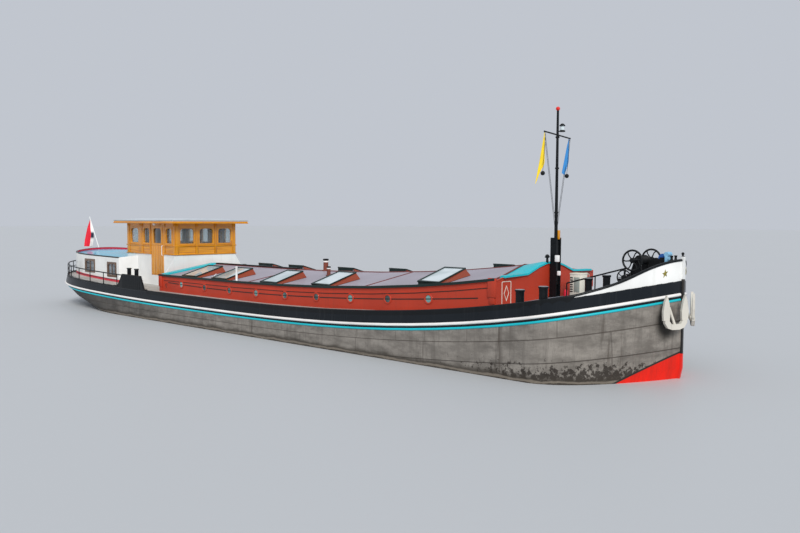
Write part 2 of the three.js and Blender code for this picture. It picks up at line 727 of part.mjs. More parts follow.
// A loft whose ring is a curved strip: the end caps are strips too
function archLoft(rings) {
  const size = rings[0].length;
  const half = size / 2;
  const positions = rings.flat(2);
  const index = [];
  for (let r = 0; r + 1 < rings.length; r += 1) {
    for (let i = 0; i < size; i += 1) {
      const a = r * size + i;
      const b = r * size + (i + 1) % size;
      index.push(a, b, b + size, a, b + size, a + size);
    }
  }
  const last = (rings.length - 1) * size;
  for (let i = 0; i + 1 < half; i += 1) {
    const j = size - 1 - i;
    index.push(i, j, i + 1, i + 1, j, j - 1);
    index.push(last + i, last + i + 1, last + j, last + i + 1, last + j - 1, last + j);
  }
  const geometry = new THREE.BufferGeometry();
  geometry.setAttribute('position', new THREE.BufferAttribute(new Float32Array(positions), 3));
  geometry.setIndex(index);
  return outward(geometry);
}

function skylightLid(light, side) {
  const y0 = side * (SKY.high - 12);
  const y1 = side * (SKY.low + SKY.lip);
  const low = (y) => skylightTop(light, y) + 1;
  const shape = [[y0, low(y0)], [y1, low(y1)], [y1, low(y1) + SKY.lid], [y0, low(y0) + SKY.lid]];
  return slabX(shape, -light.aft - SKY.lip, -light.fore + SKY.lip);
}

// Painted caps over the ends of the hatches. The fore one reaches from over the headboard to an
// edge that runs back to the middle as a wide V, where the fore cover begins.
const CAP_THICK = 40;
const CAP = { fore: 3035, side: 1850, edge: 3200, point: 3780, aftReach: 270 };
const CAP_HALF_ROWS = [
  ...HEADBOARD.filter(({ y }) => y < CAP.side),
  { y: CAP.side, rise: 37 },
];

function capEdge(y) {
  return CAP.edge + (CAP.point - CAP.edge) * (1 - Math.abs(y) / CAP.side);
}

function foreCap() {
  return archLoft(acrossShip(CAP_HALF_ROWS).map(({ y, rise }) => {
    const over = coamingTop(HOLD_FORE) + rise + GAP;
    const edge = capEdge(y);
    const low = coamingTop(edge) + roofRise(y) + HATCH_THICK + 2 - CAP_THICK;
    const under = [[CAP.fore, over], [HOLD_FORE + COAMING_THICK + 2, over], [edge, low]];
    const top = under.map(([aft, z]) => [-aft, y, z + CAP_THICK]);
    return [...top, ...under.map(([aft, z]) => [-aft, y, z]).reverse()];
  }));
}

// What the fore cover loses to the fore cap
function capCut() {
  const edge = acrossShip(CAP_HALF_ROWS).map(({ y }) => [-capEdge(y) - GAP, y]);
  const start = [[-CAP.fore, -CAP.side - GAP], [-CAP.edge - GAP, -CAP.side - GAP]];
  const end = [[-CAP.edge - GAP, CAP.side + GAP], [-CAP.fore, CAP.side + GAP]];
  return slabZ([...start, ...edge, ...end], coamingTop(HOLD_FORE) - 400, coamingTop(HOLD_FORE) + 400);
}

function aftCap() {
  const lift = HATCH_THICK + 2 * GAP;
  const ends = [HOLD_AFT - CAP.aftReach, HOLD_AFT + 30];
  return archLoft(ends.map((at) => roofRing(at, lift, CAP_THICK, ROOF_Y)));
}

// Wheelhouse

function wheelhouseBase() {
  const foot = deckHeight(WH_FORE) - SINK;
  const side = WH_HALF - WH_PLATE;
  const shell = cut(
    box(-WH_FORE, -WH_AFT, -WH_HALF, WH_HALF, foot, WH_SILL),
    box(-WH_FORE - WH_PLATE, -WH_AFT + WH_PLATE, -side, side, foot - 100, WH_SILL + 100),
  );
  const floor = box(-WH_FORE - 10, -WH_AFT + 10, -WH_HALF + 10, WH_HALF - 10, WH_FLOOR - 30, WH_FLOOR);
  const wingTop = WH_SILL - 20;
  const wing = (hand) => {
    const inner = hand * (WH_HALF - 5);
    const outer = hand * 1760;
    const shape = [[inner, foot], [outer, foot], [outer, 1180], [inner, wingTop]];
    return slabX(shape, -WH_FORE - WH_PLATE, -WH_FORE);
  };
  const doorway = box(-DOOR_FORE, -DOOR_AFT, -2000, 2000, DOOR_LOW - DOOR_CLEAR, WH_SILL + 100);
  return seated(cut(join(shell, floor, wing(-1), wing(1)), doorway));
}

// Windows as spans across the front and back, and along the sides
const FRONT_WINDOWS = [[-1050, -470], [-290, 290], [470, 1050]];
const SIDE_WINDOWS = [[17060, 17450], [18480, 18900], [19220, 19770]];

function crossWall(aft, windows) {
  const x0 = -aft;
  const wall = box(x0, x0 - WH_WALL, -WH_HALF, WH_HALF, WH_SILL + GAP, WH_HEAD);
  return cut(wall, ...windows.map(([a, b]) => box(x0 + 50, x0 - WH_WALL - 50, a, b, WIN_LOW, WIN_HIGH)));
}

// Door hinges: the wall holds an upper and a lower knuckle, the door the one between
const HINGE = { x: -DOOR_AFT + 3, y: WH_HALF + 10, radius: 9, half: 22.5, heights: [2150, 2800] };

// A knuckle with its leaf, which reaches from the pin over the wood it is screwed to
function knuckle(side, leafEnd, low, high) {
  return [
    rodZ(HINGE.radius, HINGE.x, side * HINGE.y, low, high, 10),
    box(HINGE.x, leafEnd, side * (WH_HALF - 5), side * (HINGE.y - 2), low, high),
  ];
}

function wallKnuckles(side) {
  const reach = HINGE.half + 31;
  return HINGE.heights.flatMap((z) => [
    ...knuckle(side, HINGE.x - 45, z - reach, z - HINGE.half - GAP),
    ...knuckle(side, HINGE.x - 45, z + HINGE.half + GAP, z + reach),
  ]);
}

function doorKnuckles(side) {
  return HINGE.heights.flatMap((z) => knuckle(side, HINGE.x + 60, z - HINGE.half, z + HINGE.half));
}

function sideWall(side) {
  const y0 = side * (WH_HALF - WH_WALL);
  const y1 = side * WH_HALF;
  const fore = WH_FORE + WH_WALL + GAP;
  const aft = WH_AFT - WH_WALL - GAP;
  const wall = box(-fore, -aft, y0, y1, WH_SILL + GAP, WH_HEAD);
  const holes = SIDE_WINDOWS.map(([a, b]) => box(-a, -b, side * 1000, side * 1400, WIN_LOW, WIN_HIGH));
  const doorway = box(-DOOR_FORE, -DOOR_AFT, side * 1000, side * 1400, WH_SILL - 100, DOOR_HIGH + DOOR_CLEAR);
  return join(cut(wall, ...holes, doorway), ...wallKnuckles(side));
}

function door(side) {
  const y0 = side * (WH_HALF - 42);
  const y1 = side * (WH_HALF - 2);
  const panel = box(-DOOR_FORE - DOOR_CLEAR, -DOOR_AFT + DOOR_CLEAR, y0, y1, DOOR_LOW, DOOR_HIGH);
  const pane = box(-17720, -18260, side * 1000, side * 1400, WIN_LOW, WIN_HIGH);
  return join(cut(panel, pane), ...doorKnuckles(side));
}

function wheelhouseGlass(outerAft, innerAft) {
  const low = WIN_LOW - 40;
  const high = WIN_HIGH + 40;
  const edge = WH_HALF - WH_WALL - GAP;
  const isFront = outerAft < innerAft;
  const x0 = isFront ? -outerAft - WH_WALL - GAP : -outerAft + WH_WALL + GAP;
  const outer = box(x0, -innerAft, -edge, edge, low, high);
  const pane = 6;
  const into = isFront ? -1 : 1;
  const inner = box(x0 + into * pane, -innerAft + into * 50, -edge + pane, edge - pane, low - 50, high + 50);
  return cut(outer, inner);
}

const ROOF = { fore: 16520, aft: 20430, half: 1520, fascia: 3085, rim: 3195, crown: 70, edge: 40 };

function wheelhouseRoof() {
  const ys = stationsBetween(-ROOF.half, ROOF.half, 8);
  const crest = ys.map((y) => [y, ROOF.rim + ROOF.crown * (1 - (y / ROOF.half) ** 2)]);
  const foot = [[-ROOF.half, ROOF.fascia], [ROOF.half, ROOF.fascia]];
  const slab = slabX([...foot, ...crest.reverse()], -ROOF.aft, -ROOF.fore);
  const side = ROOF.half - ROOF.edge;
  const [x0, x1] = [-ROOF.fore - ROOF.edge, -ROOF.aft + ROOF.edge];
  const under = box(x0, x1, -side, side, ROOF.fascia - 100, WH_HEAD + GAP);
  return cut(slab, under);
}

const CONSOLE = { fore: 16960, aft: 17360, half: 430, top: 2150 };
const HELM = { aft: 17440, z: 2180, radius: 360, shaft: 22 };

function helmConsole() {
  const { fore, aft, half, top } = CONSOLE;
  const foot = WH_FLOOR + GAP;
  const desk = slabY([[-fore, top], [-aft, top - 60], [-aft, foot], [-fore, foot]], -half, half);
  const boss = rodX(60, 0, HELM.z, -HELM.aft + 40, -CONSOLE.aft + 60, 12);
  const post = box(-CONSOLE.aft + 5, -CONSOLE.aft + 90, -70, 70, CONSOLE.top - 150, HELM.z + 60);
  const bearing = rodX(HELM.shaft + 0.9, 0, HELM.z, -HELM.aft - 50, -CONSOLE.aft + 30, 12);
  return cut(join(desk, boss, post), bearing);
}

function helmWheel() {
  const rim = new THREE.TorusGeometry(HELM.radius - 60, 18, 6, 24).rotateY(Math.PI / 2);
  const pieces = [rim.translate(-HELM.aft, 0, HELM.z)];
  pieces.push(rodX(45, 0, HELM.z, -HELM.aft - 25, -HELM.aft + 35, 12));
  pieces.push(rodX(HELM.shaft, 0, HELM.z, -HELM.aft, -CONSOLE.aft + 25, 12));
  for (let k = 0; k < 8; k += 1) {
    const angle = (k * Math.PI) / 4;
    const tip = [-HELM.aft, HELM.radius * Math.sin(angle), HELM.z + HELM.radius * Math.cos(angle)];
    pieces.push(strut([-HELM.aft, 0, HELM.z], tip, 13, 4));
  }
  return join(...pieces);
}

// Aft cabin: its outline in plan, starboard half, as [aft, half width]
const CABIN_PLAN = [[19300, 1216], [19680, CABIN_HALF], [20700, CABIN_HALF], [21700, 1740], [22500, 1710],
  [23100, 1640], [23450, 1530], [23680, 1400], [23860, 1160], [23970, 840], [24050, 450], [24070, 0]];
const CABIN_WINDOWS = [
  { fore: 19900, aft: 20480, low: 1190, high: 1630 },
  { fore: 21520, aft: 22260, low: 1280, high: 1690 },
];

// Height of the cabin's roof: it rises aft and is cambered across
function cabinTop(aft, y) {
  const climb = CABIN_LINE.climb * Math.max(0, aft - CABIN_LINE.from);
  return CABIN_LINE.low + climb + CABIN_CAMBER * (1 - (y / CABIN_HALF) ** 2);
}

// The cabin's outline moved inwards by a distance
function insetPlan(inset) {
  const [lastAft, lastHalf] = CABIN_PLAN[CABIN_PLAN.length - 2];
  const list = [...CABIN_PLAN, [lastAft, -lastHalf]];
  const normal = (k) => {
    const [aft, half] = [list[k + 1][0] - list[k][0], list[k + 1][1] - list[k][1]];
    return new THREE.Vector2(half, -aft).normalize();
  };
  return CABIN_PLAN.map(([aft, half], i) => {
    const [before, after] = [normal(Math.max(0, i - 1)), normal(i)];
    const move = before.clone().add(after).multiplyScalar(inset / (1 + before.dot(after)));
    return [aft + move.x, half + move.y];
  });
}

function cabinRing(inset, heightOf) {
  const starboard = insetPlan(inset).map(([aft, half]) => [-aft, -half, heightOf(aft, half)]);
  const port = starboard.slice(0, -1).reverse().map(([x, y, z]) => [x, -y, z]);
  return [...starboard, ...port];
}

// The room that the wheelhouse takes
function cabinCore() {
  return box(-19000, -WH_AFT - GAP, -WH_HALF - GAP, WH_HALF + GAP, 0, 4000);
}

function cabinWalls() {
  const outer = loft([
    cabinRing(0, (aft) => deckHeight(aft) - SINK),
    cabinRing(0, (aft, half) => cabinTop(aft, half) + CABIN_RIM),
  ]);
  const inner = loft([cabinRing(CABIN_WALL, () => 0), cabinRing(CABIN_WALL, () => 4000)]);
  const holes = CABIN_WINDOWS.map(({ fore, aft, low, high }) => box(-fore, -aft, -2000, 2000, low, high));
  return seated(cut(outer, inner, cabinCore(), ...holes));
}

function cabinRoof() {
  const thick = 30;
  const plan = insetPlan(CABIN_WALL + GAP);
  const [[aft1, half1], [aft2]] = plan.slice(-2);
  const tail = [aft2 - ((aft2 - aft1) * 60) / half1, 60];
  const rings = [...plan.slice(0, -1), tail].map(([aft, half]) => {
    const across = stationsBetween(-half, half, 6);
    const outer = across.map((y) => [-aft, y, cabinTop(aft, y)]);
    const inner = across.map((y) => [-aft, y, cabinTop(aft, y) - thick]).reverse();
    return [...outer, ...inner];
  });
  return cut(archLoft(rings), cabinCore());
}

// Mast in its tabernacle

const TABERNACLE = { half: 100, depth: 80, plate: 22, top: 2830, backTop: 2380 };

function tabernacle() {
  const foot = deckHeight(MAST_AFT, 0) - SINK;
  const fore = -MAST_AFT + TABERNACLE.depth;
  const aft = -MAST_AFT - TABERNACLE.depth;
  const cheeks = [-1, 1].map((hand) => {
    const inner = hand * (TABERNACLE.half - TABERNACLE.plate);
    return box(aft, fore, inner, hand * TABERNACLE.half, foot, TABERNACLE.top);
  });
  const back = box(aft, aft + 18, -TABERNACLE.half, TABERNACLE.half, foot, TABERNACLE.backTop);
  const side = TABERNACLE.half + 50;
  const base = box(aft - 20, fore + 60, -side, side, foot, deckHeight(MAST_AFT, 0) + 20);
  const backFoot = box(aft - 21, aft, -300, 300, foot - 50, 2000);
  const pin = rodY(18, -MAST_AFT, PIVOT_Z, -TABERNACLE.half - 12, TABERNACLE.half + 12, 12);
  const pinBody = join(...cheeks, back, base);
  return seated(cut(join(pinBody, pin), backFoot));
}

const CROSSTREE = { half: 560, z: 5150, radius: 17, tilt: 35 };
const LANTERN = { ahead: 120, z: 5215, radius: 42, plate: 64 };

function mast() {
  const heel = box(-MAST_AFT - 45, -MAST_AFT + 45, -58, 58, 1760, PIVOT_Z + 60);
  const pole = rodZ(40, -MAST_AFT, 0, PIVOT_Z + 40, MAST_TOP - 60, 14, 26);
  const truck = new THREE.SphereGeometry(45, 12, 8).rotateX(Math.PI / 2);
  truck.translate(-MAST_AFT, 0, MAST_TOP - 20);
  const arm = (side) => [-MAST_AFT, side * CROSSTREE.half, CROSSTREE.z - side * CROSSTREE.tilt];
  const tree = strut(arm(-1), arm(1), CROSSTREE.radius, 10);
  const hole = rodY(18.8, -MAST_AFT, PIVOT_Z, -200, 200, 12);
  return cut(join(heel, pole, truck, tree, lantern()), hole);
}

function lantern() {
  const x = -MAST_AFT + LANTERN.ahead;
  const low = LANTERN.z;
  return join(
    rodZ(LANTERN.plate, x, 0, low, low + 24, 14),
    rodZ(LANTERN.radius, x, 0, low + 20, low + 130, 14),
    rodZ(LANTERN.plate, x, 0, low + 126, low + 178, 14, 28),
    box(-MAST_AFT, x, -14, 14, low + 4, low + 20),
  );
}

// Pennants and the stern flag hang limp, as thin cloth
const CLOTH = 14;

// A pennant hangs from a point under the crosstree; the other points are [y, z]
function pennant(y, points) {
  const top = CROSSTREE.z - (CROSSTREE.tilt * y) / CROSSTREE.half - CROSSTREE.radius - 1;
  return slabX([[y, top], ...points], -MAST_AFT - CLOTH / 2, -MAST_AFT + CLOTH / 2);
}

const STAFF = { footAft: 24175, footZ: 1300, topAft: 25380, topZ: 3300, radius: 20 };

function staffPoint(share) {
  const aft = STAFF.footAft + (STAFF.topAft - STAFF.footAft) * share;
  return [-aft, STAFF.footZ + (STAFF.topZ - STAFF.footZ) * share];
}

function flagstaff() {
  const foot = staffPoint(0);
  const top = staffPoint(1);
  const pole = strut([foot[0], 0, foot[1]], [top[0], 0, top[1]], STAFF.radius, 10, 14);
  const truck = new THREE.SphereGeometry(30, 10, 6).translate(top[0], 0, top[1]);
  const socket = rodZ(34, -STAFF.footAft, 0, 1100, 1380, 12);
  return seated(join(pole, truck, socket));
}

function flag() {
  const [hx, hz] = staffPoint(0.96);
  const [lx, lz] = staffPoint(0.7);
  const off = 19;          // how far the cloth hangs behind the staff
  const shape = [[hx - off + 2, hz], [-25450, 2900], [-25460, 2300], [-25400, 2090], [-25230, 2060],
    [-25130, 2250], [-25075, 2600], [lx - off, lz]];
  return slabY(shape, -CLOTH / 2, CLOTH / 2);
}

// Deck gear

const WINDLASS = { aft: 870, z: 2400, wheelY: 450, wheel: 230, half: 500, cheek: 215 };
const HANDWHEEL = { aft: 1000, y: -550, rise: 190, radius: 150 };

function handwheel(deck) {
  const { y, radius } = HANDWHEEL;
  const x = -HANDWHEEL.aft;
  const z = deck + HANDWHEEL.rise;
  return [
    rodY(14, x, z, y - 10, WINDLASS.cheek + 10, 10),
    new THREE.TorusGeometry(radius, 12, 5, 16).rotateX(Math.PI / 2).translate(x, y, z),
    box(x - radius, x + radius, y - 6, y + 6, z - 6, z + 6),
    box(x - 6, x + 6, y - 6, y + 6, z - radius, z + radius),
  ];
}

function windlassFrame() {
  const { aft, z, cheek } = WINDLASS;
  const deck = deckHeight(aft, 0);
  const foot = deck - SINK;
  const side = [[-aft - 210, foot], [-aft + 210, foot], [-aft + 60, z + 45], [-aft - 60, z + 45]];
  const pieces = [
    slabY(side, cheek, cheek + 25),
    slabY(side, -cheek - 25, -cheek),
    deckPlate(aft - 230, aft + 230, -290, 290, 40),
    ...handwheel(deck),
  ];
  const bore = rodY(30.9, -aft, z, -400, 400, 16);
  return seated(cut(join(...pieces), bore));
}

function windlassShaft() {
  const { aft, z, wheelY, wheel, half } = WINDLASS;
  const pieces = [rodY(30, -aft, z, -half, half, 16), rodY(95, -aft, z, -150, 150, 16)];
  for (const y of [-wheelY, wheelY]) {
    const rim = new THREE.TorusGeometry(wheel - 14, 14, 6, 24).rotateX(Math.PI / 2);
    pieces.push(rim.translate(-aft, y, z), rodY(50, -aft, z, y - 22, y + 22, 12));
    for (let k = 0; k < 6; k += 1) {
      const angle = (k * Math.PI) / 3;
      const tip = [-aft + (wheel - 14) * Math.cos(angle), y, z + (wheel - 14) * Math.sin(angle)];
      pieces.push(strut([-aft, y, z], tip, 10, 4));
    }
  }
  return join(...pieces);
}

// Stockless anchor hanging before the bow: two pointed flukes on a U-shaped crown, with the
// shank running into the hull. Drawn facing forward, then turned with the bow.
const ANCHOR = { x: 50, y: 430, turn: 0.446, fluke: 230, face: [-20, 30] };

function anchor(side) {
  const leaf = [[-75, 1240], [75, 1240], [88, 1420], [52, 1610], [0, 1740], [-52, 1610], [-88, 1420]];
  const arms = [[-275, 1260], [-275, 1190], [-200, 1090], [-90, 1055], [90, 1055], [200, 1090], [275, 1190],
    [275, 1260], [185, 1260], [110, 1165], [-110, 1165], [-185, 1260]];
  const pieces = [-1, 1].map((flank) => (
    slabX(leaf.map(([y, z]) => [y + flank * ANCHOR.fluke, z]), ...ANCHOR.face)
  ));
  pieces.push(slabX(arms, ANCHOR.face[0] - 5, ANCHOR.face[1] + 10));
  pieces.push(strut([10, 0, 1110], [-220, 0, 1560], 28, 10));
  return seated(join(...pieces).rotateZ(side * ANCHOR.turn).translate(ANCHOR.x, side * ANCHOR.y, 0));
}

const RAIL_BOLLARD = { afts: [1870, 2420], y: 2240, radius: 90, head: 104, rise: 295, plate: [1740, 2540] };
const FORE_BOLLARD = { afts: [1180, 1590], y: 950, radius: 75, head: 90, rise: 325, plate: [1060, 1720] };

function railBollards(side) {
  const plate = deckPlate(...RAIL_BOLLARD.plate, side * 2100, side * 2290, 14);
  return seated(join(...bollards(RAIL_BOLLARD, side), plate));
}

function foreBollards(side) {
  const plate = deckPlate(...FORE_BOLLARD.plate, side * 850, side * 1050, 30);
  return seated(join(...bollards(FORE_BOLLARD, side), plate));
}

const LOCKER = { fore: 2400, aft: 2670, y: [170, 480], rise: 490 };

function locker() {
  const deck = deckHeight((LOCKER.fore + LOCKER.aft) / 2, 0);
  return seated(box(-LOCKER.fore, -LOCKER.aft, ...LOCKER.y, deck - SINK, deck + LOCKER.rise));
}

const STACK = { aft: 10700, flange: 110, radius: 74, cap: 84, rise: 255, top: 362 };

function stack(cover) {
  const base = coamingTop(STACK.aft) + roofRise(0) + HATCH_THICK;
  const pieces = [
    rodZ(STACK.flange, -STACK.aft, 0, base - 15, base + 22, 14),
    rodZ(STACK.radius, -STACK.aft, 0, base, base + STACK.rise + 10, 14),
    rodZ(STACK.cap, -STACK.aft, 0, base + STACK.rise, base + STACK.top, 14),
  ];
  return cut(join(...pieces), cover.clone().translate(0, 0, GAP));
}

// Assembly

add('hull', hull(), finish(0x6f6b66, 0.7, 0.3));
add('strake_white', strake(STRAKE_WHITE, 0), WHITE_PAINT);
add('strake_turquoise', strake(STRAKE_BLUE, -105), finish(0x23b5b8, 0.45, 0.1));
add('stem_bar', stemBar(), STEEL_BLACK);
add('bow_bulwark', bowBulwark(), WHITE_PAINT);
add('gunwale_cap', gunwaleCap(), STEEL_BLACK);
add('stern_bulwark', sternBulwark(), STEEL_BLACK);
add('stern_rail', sternRail(), STEEL_BLACK);
add('propeller', propeller(), finish(0x9a7b3c, 0.35, 0.9));
add('rudder', rudder(), STEEL_BLACK);
add('engine', engine(), finish(0x35506b, 0.6, 0.5));

add('coaming_stbd', coaming(-1), RED_PAINT);
add('coaming_port', coaming(1), RED_PAINT);
add('headboard_fore', foreHeadboard(), RED_PAINT);
add('headboard_aft', aftHeadboard(), RED_PAINT);

const LILAC = finish(0xb9b5c4, 0.6, 0.1);
const COVER_SPANS = [
  { name: 'hatch_cover_fore', fore: COVER_FORE, aft: 7200 },
  { name: 'hatch_cover_mid', fore: 7200 + 4, aft: 11900 },
  { name: 'hatch_cover_aft', fore: 11900 + 4, aft: COVER_AFT },
];
for (const { name, fore, aft } of COVER_SPANS) {
  const lights = SKYLIGHTS.filter((light) => light.fore > fore && light.aft < aft);
  const cover = hatchCover(fore, aft, lights);
  add(name, fore === COVER_FORE ? cut(cover, capCut()) : cover, LILAC);
}
for (const light of SKYLIGHTS) {
  add(`skylight_lid_stbd_${light.name}`, skylightLid(light, -1), finish(0x7a3a22, 0.4, 0));
  add(`skylight_lid_port_${light.name}`, skylightLid(light, 1), finish(0x7a3a22, 0.4, 0));
}
const TURQUOISE = finish(0x2ec4d0, 0.5, 0);
add('cap_fore', foreCap(), TURQUOISE);
add('cap_aft', aftCap(), TURQUOISE);
add('stack', stack(ship.getObjectByName('hatch_cover_mid').geometry), finish(0x6e4030, 0.8, 0.4));

add('wheelhouse_base', wheelhouseBase(), WHITE_PAINT);
add('wheelhouse_front', crossWall(WH_FORE, FRONT_WINDOWS), VARNISHED);
add('wheelhouse_back', crossWall(WH_AFT - WH_WALL, FRONT_WINDOWS), VARNISHED);
add('wheelhouse_side_stbd', sideWall(-1), VARNISHED);
add('wheelhouse_side_port', sideWall(1), VARNISHED);
add('wheelhouse_door_stbd', door(-1), VARNISHED);
add('wheelhouse_door_port', door(1), VARNISHED);
add('wheelhouse_roof', wheelhouseRoof(), VARNISHED);
const GLASS = finish(0x9fb8c4, 0.1, 0);
add('wheelhouse_glass_fore', wheelhouseGlass(WH_FORE, 17540), GLASS);
add('wheelhouse_glass_aft', wheelhouseGlass(WH_AFT, 18440), GLASS);
add('helm_console', helmConsole(), VARNISHED);
add('helm_wheel', helmWheel(), VARNISHED);

add('cabin_walls', cabinWalls(), WHITE_PAINT);
add('cabin_roof', cabinRoof(), finish(0x9fd3e6, 0.5, 0));

add('tabernacle', tabernacle(), STEEL_BLACK);
add('mast', mast(), STEEL_BLACK);
const YELLOW = finish(0xe8d92a, 0.8, 0);
const BLUE = finish(0x2f86c9, 0.8, 0);
add('pennant_yellow', pennant(-545, [[-900, 4010], [-700, 4300], [-530, 4450]]), YELLOW);
add('pennant_blue', pennant(515, [[505, 4560], [330, 4260], [200, 4290], [440, 5000]]), BLUE);

add('windlass_frame', windlassFrame(), STEEL_BLACK);
add('windlass_shaft', windlassShaft(), STEEL_BLACK);
add('anchor_stbd', anchor(-1), finish(0xd8d8d2, 0.6, 0.3));
add('anchor_port', anchor(1), finish(0xd8d8d2, 0.6, 0.3));
add('rail_bollards_stbd', railBollards(-1), STEEL_BLACK);
add('rail_bollards_port', railBollards(1), STEEL_BLACK);
add('fore_bollards_stbd', foreBollards(-1), STEEL_BLACK);
add('fore_bollards_port', foreBollards(1), STEEL_BLACK);
add('locker', locker(), finish(0xe6e0d0, 0.6, 0));
add('flagstaff', flagstaff(), finish(0xf0f0ee, 0.5, 0));
add('flag', flag(), finish(0xd02030, 0.8, 0));

// Stand the ship on its flat bottom, centred
const bounds = new THREE.Box3().setFromObject(ship);
const centre = bounds.getCenter(new THREE.Vector3());
ship.position.set(-centre.x, 0, -bounds.min.z);
const part = new THREE.Group();
part.add(ship);
part.updateMatrixWorld(true);

export default part;
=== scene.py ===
"""River barge, dressed for a still picture.

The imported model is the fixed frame. This script gives every part its finish and adds the pieces that
the solids leave plain. Metres, +X to the bow, +Y to port, +Z up, origin under the middle of the ship.
"""
import math

import bpy
import numpy as np
from bpy.props import FloatProperty, FloatVectorProperty, PointerProperty
from mathutils import Matrix, Vector


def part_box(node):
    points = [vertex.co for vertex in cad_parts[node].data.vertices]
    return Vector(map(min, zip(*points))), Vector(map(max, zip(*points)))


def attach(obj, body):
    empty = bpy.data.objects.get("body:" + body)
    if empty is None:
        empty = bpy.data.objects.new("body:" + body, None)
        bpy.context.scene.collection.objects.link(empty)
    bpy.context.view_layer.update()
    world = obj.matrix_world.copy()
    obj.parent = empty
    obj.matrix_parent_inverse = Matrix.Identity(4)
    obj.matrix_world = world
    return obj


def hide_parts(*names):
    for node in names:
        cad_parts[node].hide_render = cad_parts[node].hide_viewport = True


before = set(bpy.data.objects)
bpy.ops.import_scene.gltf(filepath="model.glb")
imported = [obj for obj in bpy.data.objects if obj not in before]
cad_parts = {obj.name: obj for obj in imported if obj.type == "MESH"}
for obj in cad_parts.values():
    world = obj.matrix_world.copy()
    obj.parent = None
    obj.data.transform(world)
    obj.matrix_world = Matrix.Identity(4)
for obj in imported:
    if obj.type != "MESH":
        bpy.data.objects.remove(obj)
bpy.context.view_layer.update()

bl_info = {
    "name": "River Barge Looks",
    "version": (1, 0, 0),
    "blender": (4, 5, 0),
    "location": "View3D > Sidebar > Barge",
    "description": "Dresses a river barge: hull, hold, wheelhouse, rig and deck gear",
    "category": "Add Mesh",
}

# Ship frame: x forward of the stem, y to port, z above the waterline; aft runs backwards from the stem.
STEM_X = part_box("hull")[1][0]
DRAFT = 1.0
HALF_BEAM = 2.535
BOW_END = 2.15
RUN_START = 13.2
DECK_RISE = 0.28
DECK_CAMBER = 0.05
DECK_INSET = 0.015
DECK_END = 24.33

# Sheer line of the rubbing strake
SHEER_LOW = 0.6
SHEER_MID = 14.0
SHEER_END = 24.35
BOW_LIFT = 1.13
BOW_POWER = 3.1
STERN_LIFT = 0.3
STERN_POWER = 2.4

# Hull levels from the flat bottom to the strake. Columns: share of the height, narrower than the full
# beam, start of the stem, end of the stern, where the stern narrows, fullness of the bow
LEVELS = np.array([
    (0.0, 0.380, 0.62, 18.80, 13.5, 1.0),
    (0.0325, 0.190, 0.48, 19.15, 13.6, 1.0),
    (0.121, 0.051, 0.30, 19.60, 13.8, 1.0),
    (0.242, 0.0, 0.12, 19.95, 14.3, 1.0),
    (0.45, 0.0, 0.0, 20.60, 16.3, 0.97),
    (0.637, 0.0, 0.0, 21.95, 18.0, 0.9),
    (0.82, 0.0, 0.0, 23.55, 19.2, 0.82),
    (1.0, 0.0, 0.0, 24.50, 19.9, 0.77),
])
STRAKE_ROW = 7.0

# Hold
COAMING_HALF = 2.065
COAMING_LOW = 1.4
COAMING_LIFT = 1.13
COAMING_POWER = 2.8
HOLD_FORE = 3.13
HOLD_AFT = 16.45
FRAMES = (HOLD_FORE, 4.2, 5.4, 6.8, 8.4, 10.2, 12.2, 14.2, HOLD_AFT)
HATCH_HALF = 2.022
ROOF_DROP = 0.045
ROOF_RISE = 0.295
COVER_THICK = 0.045
RIDGE_HALF = 0.07
# Portholes: the aftmost, the step from one to the next, and their number
PORTHOLE_AFT, PORTHOLE_STEP, PORTHOLES = 15.15, 1.27, 9
# Skylights: fore and aft ends of each pair of openings, low and high edges of a lid as (y, rise over the
# coaming), and how far its sloping board reaches over the cover
SKYLIGHTS = {"1": (4.77, 5.37), "2": (8.42, 9.06), "3": (10.57, 11.23), "4": (12.90, 13.60),
             "5": (14.46, 15.20)}
LID_LOW = (1.98, 0.036)
LID_HIGH = (1.0, 0.316)
LID_THICK = 0.034
LID_LIP = 0.022
BOARD_REACH = 0.15

# Wheelhouse
WALL_FORE = 16.85
WALL_AFT = 20.03
WALL_HALF = 1.213
SILL = 2.0
WINDOW_LOW = 2.38
WINDOW_HIGH = 2.93
FRONT_WINDOWS = ((-1.05, -0.47), (-0.29, 0.29), (0.47, 1.05))
SIDE_WINDOWS = ((17.06, 17.45), (18.48, 18.90), (19.22, 19.77))
DOOR = (17.586, 18.394)
DOOR_PANE = (17.72, 18.26)
DOOR_PLANKS = (1.31, 2.31)
POST_TOP = 3.08
ROOF_FORE, ROOF_AFT, ROOF_HALF, FASCIA, RIM = 16.52, 20.43, 1.52, 3.085, 3.195

# Aft cabin: outline in plan, starboard half, as (aft, half width), and its windows
CABIN_PLAN = ((19.30, 1.216), (19.68, 1.75), (20.70, 1.75), (21.70, 1.74), (22.50, 1.71), (23.10, 1.64),
              (23.45, 1.53), (23.68, 1.40), (23.86, 1.16), (23.97, 0.84), (24.05, 0.45), (24.07, 0.0))
CABIN_WINDOWS = ((19.90, 20.48, 1.19, 1.63), (21.52, 22.26, 1.28, 1.69))

# Rig and deck gear: the crosstree's half length, height and tilt, the halyards' radius, the windlass's
# shaft, and the heights of the stern rail's bars over their feet
MAST_AFT = 2.95
CROSSTREE = (0.56, 5.15, 0.035)
HALYARD = 0.004
SHAFT_AFT = 0.87
SHAFT_HIGH = 2.4
RAIL_HIGH = 0.385
RAIL_LOW = 0.2


def strake_height(aft):
    """Height of the rubbing strake: lowest amidships, lifted by a power curve towards each end."""
    aft = np.asarray(aft, dtype=float)
    bow = np.maximum(0, (SHEER_MID - aft) / SHEER_MID)
    stern = np.maximum(0, (aft - SHEER_MID) / (SHEER_END - SHEER_MID))
    return SHEER_LOW + BOW_LIFT * bow ** BOW_POWER + STERN_LIFT * stern ** STERN_POWER


